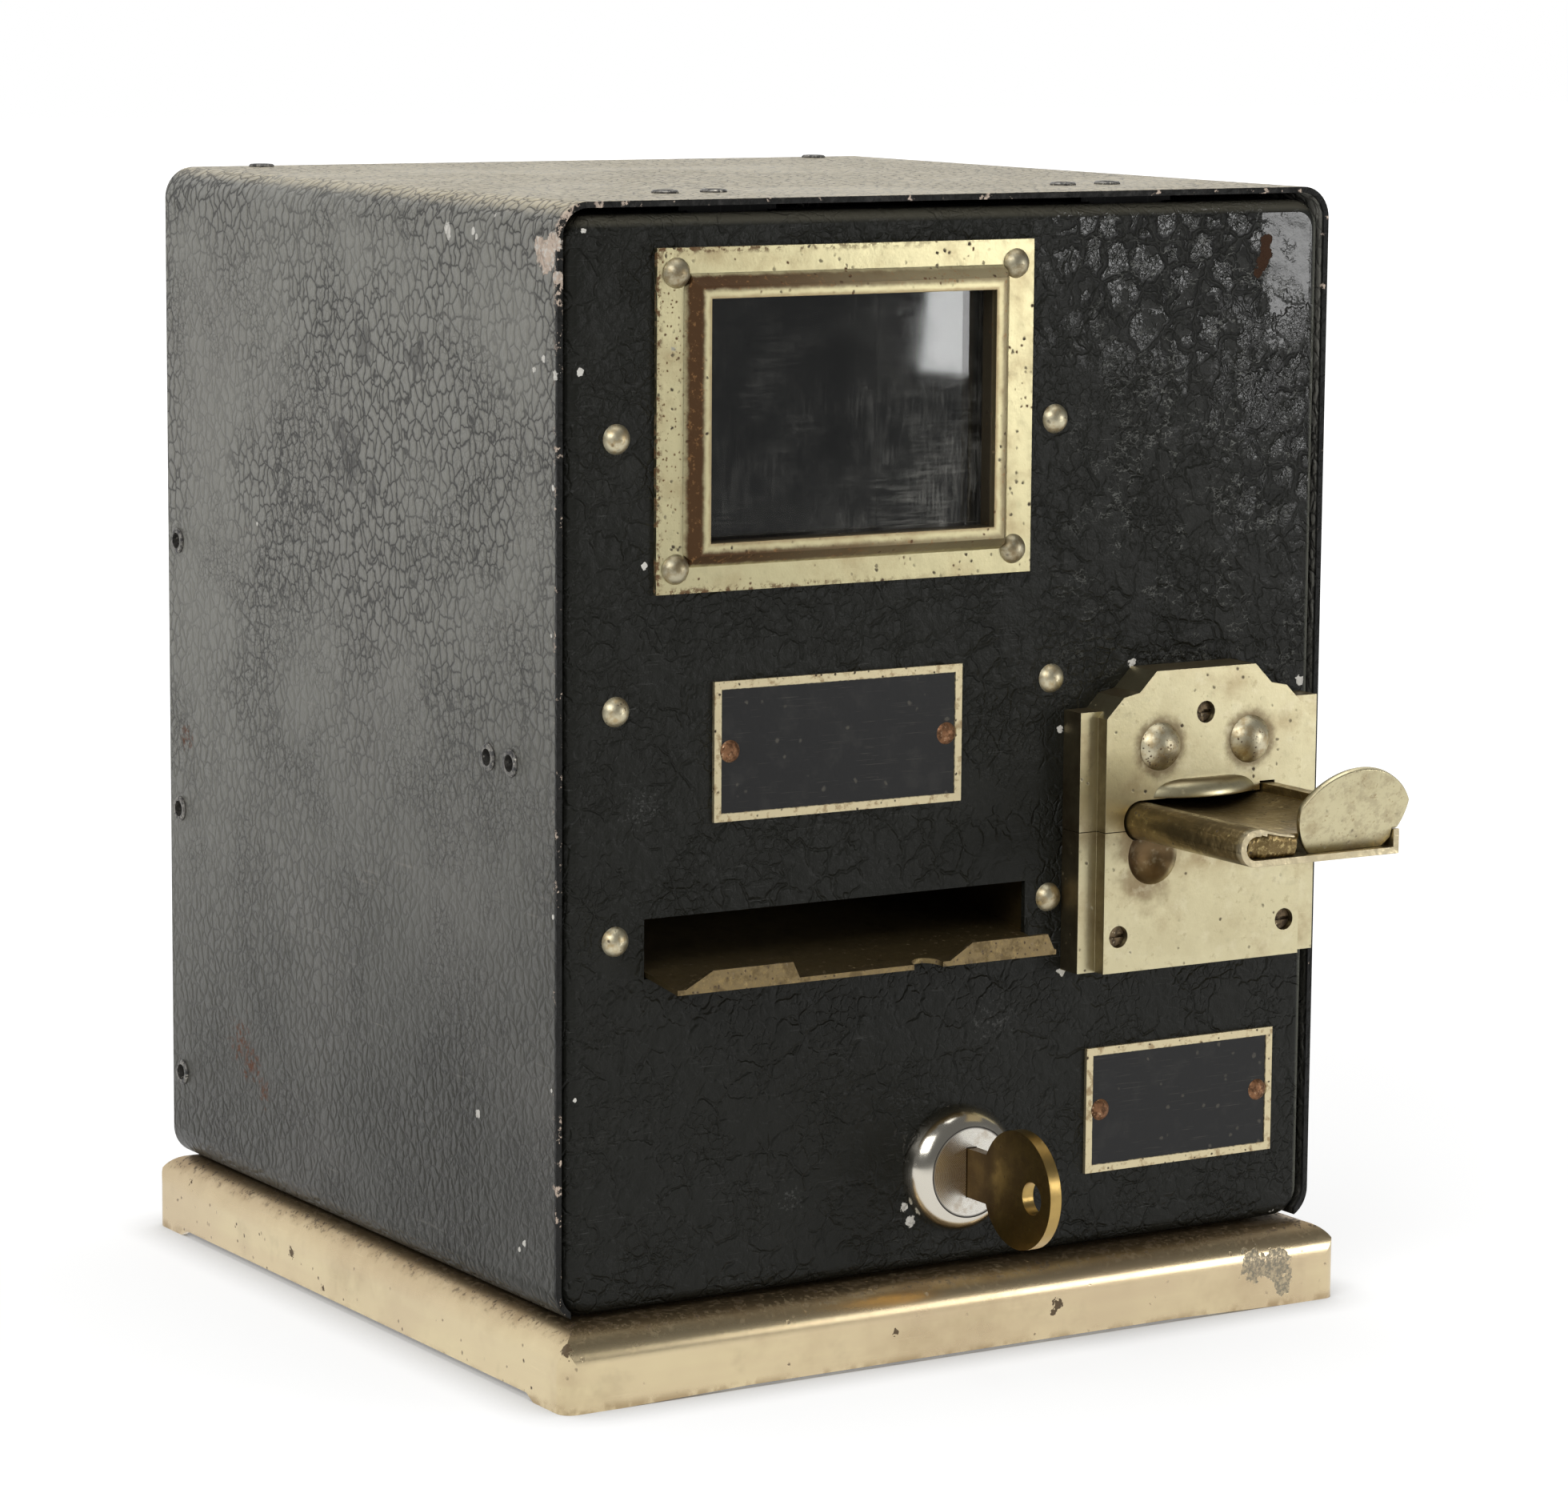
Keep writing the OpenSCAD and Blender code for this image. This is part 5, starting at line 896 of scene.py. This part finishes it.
def old_glass():
    """Clear pane with wiping smears and dust that gathers towards the lower right."""
    low, high = box_of("window_glass")
    f = Finish("old_glass")
    right = (f.axis("X") - low.x) / (high.x - low.x)
    up = (f.axis("Z") - low.z) / (high.z - low.z)
    wiped = f.streaks((6, 6, 0.5), 1).ease(0.35, 0.75) * f.noise(10, 5, 0.7, 2).ease(0.42, 0.7)
    rubbed = f.streaks((0.6, 6, 5), 4).ease(0.35, 0.75) * f.noise(13, 5, 0.7, 5).ease(0.40, 0.68)
    corner = right.ease(0.40, 0.80) * (1 - up.ease(0.20, 0.75))
    low_edge = (1 - up.ease(0.02, 0.22)) * 0.5 + right.ease(0.80, 0.98) * 0.4
    film = f.noise(22, 4, 0.6, 7).ease(0.40, 0.75)
    haze = (wiped + rubbed) * (0.05 + corner * 0.16 + low_edge * 0.12) + film * (0.012 + 0.03 * low_edge)
    haze = (haze + f.noise(0.7, 2, seed=6).ease(0.69, 0.74) * 0.10).low(0.45)
    pane = f.node("ShaderNodeBsdfPrincipled", None, {
        "Base Color": (0.90, 0.93, 0.91), "Roughness": (wiped + rubbed) * 0.03 + 0.02, "IOR": 1.5,
        "Transmission Weight": 1.0,
    })
    dust = f.node("ShaderNodeBsdfPrincipled", None, {"Base Color": (0.45, 0.44, 0.40), "Roughness": 0.8})
    f.show(f.node("ShaderNodeMixShader", None, {0: haze, 1: pane, 2: dust}))
    return f.material


# Pieces

# Outline of the slide's front fold, from its top edge to its foot: millimetres back from the slide's
# front, then the share of the way down
FOLD_OUTLINE = (
    (3.2, -0.05), (1.8, -0.07), (0.6, -0.06), (-0.1, 0.10), (-0.15, 0.35), (0.0, 0.6), (0.3, 0.8),
    (0.7, 0.95), (1.2, 1.0),
)
# Steps along the fold, and the thickness of its sheet in millimetres
FOLD_STEPS = 60
FOLD_SHEET = 0.25
# From the slide's roll to its dished top, in millimetres
ROLL_GAP = 1.2
# How far the fold laps over the roll, how far it takes to rise from it, and its set-back there
FOLD_LAP = 2.6
FOLD_RISE = 1.5
FOLD_SET_BACK = 0.9
# Steps in a turn of the spring, and sides of its wire
TURN_STEPS = 28
WIRE_SIDES = 10


def crinkle(x, j):
    """Small waves of crumpled sheet, in millimetres."""
    return 0.13 * math.sin(1.9 * x + 1.3 * j) + 0.09 * math.sin(3.7 * x - 0.9 * j)


def fold_rows():
    """Rows of the thin fold that closes the slide's front, from its dished top down to its lower sheet."""
    sheet, roll, dish, rail = WORKS.sheet / MM, WORKS.roll / MM, WORKS.dish / MM, WORKS.rail / MM
    top = SLIDE_LOW.z + 2 * roll
    left, right = SLIDE_LOW.x + roll + ROLL_GAP, SLIDE_HIGH.x - rail
    curve = ((right - left) ** 2 / 4 + dish**2) / (2 * dish)
    foot = SLIDE_LOW.z + sheet
    rows = []
    for i in range(FOLD_STEPS + 1):
        x = left - FOLD_LAP + (WORKS.fold / MM) * i / FOLD_STEPS
        away = x - (left + right) / 2
        skin = min(top, top - dish + curve - math.sqrt(curve**2 - away**2))
        over = min(1.0, max(0.0, (x - left) / FOLD_RISE))
        under = skin - sheet - 0.05 if over == 0 else skin
        row = []
        for j, (back, down) in enumerate(FOLD_OUTLINE):
            height = under - foot
            z = under - down * height if down > 0 else under - down * over
            wave = crinkle(x, j)
            y = SLIDE_LOW.y + back + (1 - over) * FOLD_SET_BACK + (abs(wave) if down > 0.1 else 0.0)
            row.append((x, y, z + (0.03 * wave if down <= 0 else 0.0)))
        rows.append(row)
    return rows


def spring_rows():
    """Rings of wire along the return spring, which fills the place of its CAD node."""
    low, high = box_of("return_spring")
    wire = WORKS.wire / MM
    reach = (high.z - low.z) / 2 - wire
    x, z = (low.x + high.x) / 2, (low.z + high.z) / 2
    steps = int(WORKS.turns * TURN_STEPS)
    rows = []
    for i in range(steps + 1):
        angle = math.tau * WORKS.turns * i / steps
        y = low.y + wire + (high.y - low.y - 2 * wire) * i / steps
        row = []
        for j in range(WIRE_SIDES):
            turn = math.tau * j / WIRE_SIDES
            out = reach + wire * math.cos(turn)
            row.append((x + out * math.cos(angle), y + wire * math.sin(turn), z + out * math.sin(angle)))
        rows.append(row)
    return rows


class VENDOR_OT_cabinet(bpy.types.Operator):
    """Paint the wrap and back panel and finish the eyelets"""

    bl_idname = "vendor.cabinet"
    bl_label = "Cabinet"

    def execute(self, context):
        dress(wrap_crackle(), "cabinet_wrap", "back_panel")
        soften(0.35, "cabinet_wrap")
        dress(dark_eyelet(), "back_eyelets", "stop_eyelets", "hinge_eyelets")
        return {"FINISHED"}


class VENDOR_OT_base(bpy.types.Operator):
    """Plate the base and finish its board"""

    bl_idname = "vendor.base"
    bl_label = "Base"

    def execute(self, context):
        dress(plated_base(), "base_pan")
        dress(fibre_board(), "base_board")
        return {"FINISHED"}


class VENDOR_OT_door(bpy.types.Operator):
    """Paint the door and plate the dome heads on it"""

    bl_idname = "vendor.door"
    bl_label = "Door"

    def execute(self, context):
        dress(door_crackle(), "door_pan")
        dress(spotted_dome(), "chassis_rivets", "coin_rivets")
        dress(brown_dome(), "frame_screws")
        return {"FINISHED"}


class VENDOR_OT_window(bpy.types.Operator):
    """Plate the window frame and glaze it"""

    bl_idname = "vendor.window"
    bl_label = "Window"

    def execute(self, context):
        dress(plated_frame(), "window_frame")
        soften(0.45, "window_frame")
        dress(old_glass(), "window_glass")
        return {"FINISHED"}


class VENDOR_OT_plates(bpy.types.Operator):
    """Enamel the two plates and finish their rivets"""

    bl_idname = "vendor.plates"
    bl_label = "Plates"

    def execute(self, context):
        for name in ("price_plate", "maker_plate"):
            dress(enamel_plate(name), name)
        dress(copper_rivet(), "price_rivets", "maker_rivets")
        return {"FINISHED"}


class VENDOR_OT_coin_head(bpy.types.Operator):
    """Plate the coin head and finish the slide and its thumb tab"""

    bl_idname = "vendor.coin_head"
    bl_label = "Coin Head"

    def execute(self, context):
        dress(plated_head(), "coin_head_upper", "coin_head_lower")
        dress(sunk_screw(), "coin_screws")
        soften(0.5, "coin_head_upper", "coin_head_lower")
        dress(slide_bronze(), "coin_slide")
        dress(plated_tab(), "thumb_tab")
        soften(0.3, "coin_slide", "thumb_tab")
        fold = grid_piece("slide_front_fold", fold_rows(), fold_bronze(), "coin_slide")
        solid = fold.modifiers.new("sheet", "SOLIDIFY")
        solid.thickness = FOLD_SHEET * MM
        return {"FINISHED"}


class VENDOR_OT_tray(bpy.types.Operator):
    """Finish the delivery tray"""

    bl_idname = "vendor.tray"
    bl_label = "Tray"

    def execute(self, context):
        dress(tray_bronze(), "delivery_tray")
        return {"FINISHED"}


class VENDOR_OT_lock(bpy.types.Operator):
    """Finish the lock and its key"""

    bl_idname = "vendor.lock"
    bl_label = "Lock and Key"

    def execute(self, context):
        dress(bright_scalp(), "lock_barrel")
        dress(turned_plug(), "lock_plug")
        dress(worn_key(), "key")
        return {"FINISHED"}


class VENDOR_OT_works(bpy.types.Operator):
    """Finish the hopper, the drum drive and the other pieces inside"""

    bl_idname = "vendor.works"
    bl_label = "Works"

    def execute(self, context):
        dress(
            japan_black(), "hopper_left", "hopper_right", "hopper_back", "hopper_floor", "hinge_leaf_left",
            "hinge_leaf_right",
        )
        dress(
            plain_steel(), "base_bolts", "base_nuts", "stop_bracket_left", "stop_bracket_right",
            "lock_strike", "cash_box", "door_hinge_left", "door_hinge_right", "hinge_pins", "glass_retainer",
            "frame_nuts", "head_clamp", "rack_guide", "coin_chute", "lock_nut", "drive_rack", "drum_shaft",
            "lock_cam", "cam_nut",
        )
        dress(dull_brass(), "drum_bush_left", "drum_bush_right", "drive_pinion")
        dress(turned_alloy(), "vend_drum")
        return {"FINISHED"}


class VENDOR_OT_spring(bpy.types.Operator):
    """Wind the return spring where its CAD node stands, at rest; the real one stretches from the clamp to
    the rack's lug as the slide goes in
    """

    bl_idname = "vendor.spring"
    bl_label = "Return Spring"

    def execute(self, context):
        low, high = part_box("return_spring")
        spring = grid_piece("wound_return_spring", spring_rows(), plain_wire(), closed=True)
        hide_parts("return_spring")
        x, z = (low.x + high.x) / 2, (low.z + high.z) / 2
        low.y
        high.y
        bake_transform(spring)
        return {"FINISHED"}


# Stage

# Camera: width and focal length in pixels, sensor in millimetres, place in metres, then yaw, pitch and roll
PHOTO_WIDTH = 1960
FOCAL_PIXELS = 6697.0
SENSOR = 36.0
CAMERA_AT = Vector((-0.583415, -0.961961, 0.279236))
CAMERA_TURN = (0.5543086, 0.1489291, -0.0075541)
# Side of the square floor in metres
FLOOR_SIZE = 14
# Painted contact shadow in the floor's glow: its reach in millimetres and its samples
SHADOW_REACH = 12
SHADOW_SAMPLES = 6
# Each lamp's place, aim and size in metres, and its turn about the aim
LAMPS = {
    "key": ((-1.40, -0.95, 1.25), (0, -0.05, 0.1), (1.1, 0.9), 0.0),
    "top": ((0.1, 0.1, 1.5), (0, 0, 0.1), (1.2, 1.2), 0.0),
    "box": ((0.723, -0.869, 0.235), (0.03, -0.08, 0.21), (0.34, 0.28), math.radians(-6)),
}


def camera_matrix(at, yaw, pitch, roll):
    """Where the camera stands and looks: yaw to the right of +Y, pitch downwards, roll about the view."""
    ahead = Vector((math.sin(yaw) * math.cos(pitch), math.cos(yaw) * math.cos(pitch), -math.sin(pitch)))
    right = Vector((math.cos(yaw), -math.sin(yaw), 0.0))
    down = ahead.cross(right)
    across = right * math.cos(roll) + down * math.sin(roll)
    upward = right * math.sin(roll) - down * math.cos(roll)
    turn = Matrix((across, upward, -ahead)).transposed()
    return Matrix.Translation(at) @ turn.to_4x4()


def softbox(name, power, at, aim, size, turn):
    """A rectangular lamp at a place, aimed at a point and turned about that line."""
    data = bpy.data.lights.new(name, "AREA")
    data.shape = "RECTANGLE"
    data.size, data.size_y = size
    data.energy = power
    lamp = bpy.data.objects.new(name, data)
    lamp.location = at
    look = (Vector(aim) - Vector(at)).to_track_quat("-Z", "Y")
    lamp.rotation_euler = (look @ Quaternion((0, 0, 1), turn)).to_euler()
    bpy.context.scene.collection.objects.link(lamp)


def pale_floor():
    """Floor: white to the camera with a soft shadow, partly cast by the lamps and partly painted into its
    glow, darker in front to glossy pieces.
    """
    f = Finish("pale_floor", STAGE.floor, 0.9)
    seen, mirrored = f.ray("Camera"), f.ray("Glossy")
    depth = f.axis("Y").ease(-1000, -250)
    far = f.vector("LENGTH", f.where, output="Value").ease(220, 700)
    # Ambient occlusion dims the floor's white glow near the machine: a painted contact shadow.
    open_sky = f.node(
        "ShaderNodeAmbientOcclusion", {"samples": SHADOW_SAMPLES}, {"Distance": SHADOW_REACH * MM}, "AO"
    )
    level = seen * open_sky + mirrored * 0.8 * (depth * (1 - STAGE.front_dark) + STAGE.front_dark)
    lit = f.node("ShaderNodeBsdfDiffuse", None, {"Color": STAGE.floor})
    white = f.node("ShaderNodeEmission", None, {"Color": level, "Strength": 1.25})
    share = seen * (0.55 + 0.45 * far) + mirrored * 0.85
    f.show(f.node("ShaderNodeMixShader", None, {0: share, 1: lit, 2: white}))
    return f.material


def room_light():
    """World that is white to the camera, even to matt pieces and darker in front to glossy ones."""
    world = bpy.data.worlds.new("room_light")
    bpy.context.scene.world = world
    world.use_nodes = True
    f = Nodes(world.node_tree)
    seen, mirrored = f.ray("Camera"), f.ray("Glossy")
    toward = f.part(f.node("ShaderNodeTexCoord", output="Generated"), "Y")
    gloss = toward.ease(-0.05, 0.70) * (1 - STAGE.front_dark) + STAGE.front_dark
    level = mirrored * (gloss - STAGE.ambient) + STAGE.ambient
    level = level + seen * (1 - level)
    light = f.node("ShaderNodeBackground", None, {"Color": level})
    out = f.tree.nodes.new("ShaderNodeOutputWorld")
    f.tree.links.new(light.socket, out.inputs["Surface"])


class VENDOR_OT_stage(bpy.types.Operator):
    """Set the floor, the room's light, the lamps and the camera"""

    bl_idname = "vendor.stage"
    bl_label = "Stage"

    def execute(self, context):
        bpy.ops.mesh.primitive_plane_add(size=FLOOR_SIZE)
        floor = context.object
        floor.name = "floor"
        floor.data.materials.append(pale_floor())
        room_light()
        for name, lamp in LAMPS.items():
            softbox(name, getattr(STAGE, name), *lamp)
        data = bpy.data.cameras.new("camera")
        data.sensor_fit = "HORIZONTAL"
        data.sensor_width = SENSOR
        data.lens = FOCAL_PIXELS / PHOTO_WIDTH * SENSOR
        camera = bpy.data.objects.new("camera", data)
        camera.matrix_world = camera_matrix(CAMERA_AT, *CAMERA_TURN)
        context.scene.collection.objects.link(camera)
        context.scene.camera = camera
        context.scene.view_settings.view_transform = "Standard"
        return {"FINISHED"}


class VENDOR_PT_panel(bpy.types.Panel):
    """Lists the pieces and the values that they are made from"""

    bl_idname = "VENDOR_PT_panel"
    bl_label = "Counter Vendor"
    bl_space_type = "VIEW_3D"
    bl_region_type = "UI"
    bl_category = "Vendor"

    def draw(self, context):
        for operator in OPERATORS:
            self.layout.operator(operator.bl_idname)
        for key in GROUPS:
            group = getattr(context.scene, key)
            box = self.layout.box()
            for name in group.bl_rna.properties.keys():
                if name not in ("rna_type", "name"):
                    box.prop(group, name)


OPERATORS = (
    VENDOR_OT_cabinet, VENDOR_OT_base, VENDOR_OT_door, VENDOR_OT_window, VENDOR_OT_plates,
    VENDOR_OT_coin_head, VENDOR_OT_tray, VENDOR_OT_lock, VENDOR_OT_works, VENDOR_OT_spring, VENDOR_OT_stage,
)
GROUPS = {
    "vendor_paint": VendorPaint,
    "vendor_metal": VendorMetal,
    "vendor_works": VendorWorks,
    "vendor_stage": VendorStage,
}


def register():
    """Adds the classes and the scene's values."""
    for cls in (*GROUPS.values(), *OPERATORS, VENDOR_PT_panel):
        bpy.utils.register_class(cls)
    for name, cls in GROUPS.items():
        setattr(bpy.types.Scene, name, PointerProperty(type=cls))


def unregister():
    """Takes the classes and the scene's values away again."""
    for name in GROUPS:
        delattr(bpy.types.Scene, name)
    for cls in (VENDOR_PT_panel, *reversed(OPERATORS), *reversed(list(GROUPS.values()))):
        bpy.utils.unregister_class(cls)


def main():
    """Registers the panel, dresses every piece and sets the stage."""
    register()
    for operator in OPERATORS:
        area, name = operator.bl_idname.split(".")
        getattr(getattr(bpy.ops, area), name)()


if __name__ == "__main__":
    main()
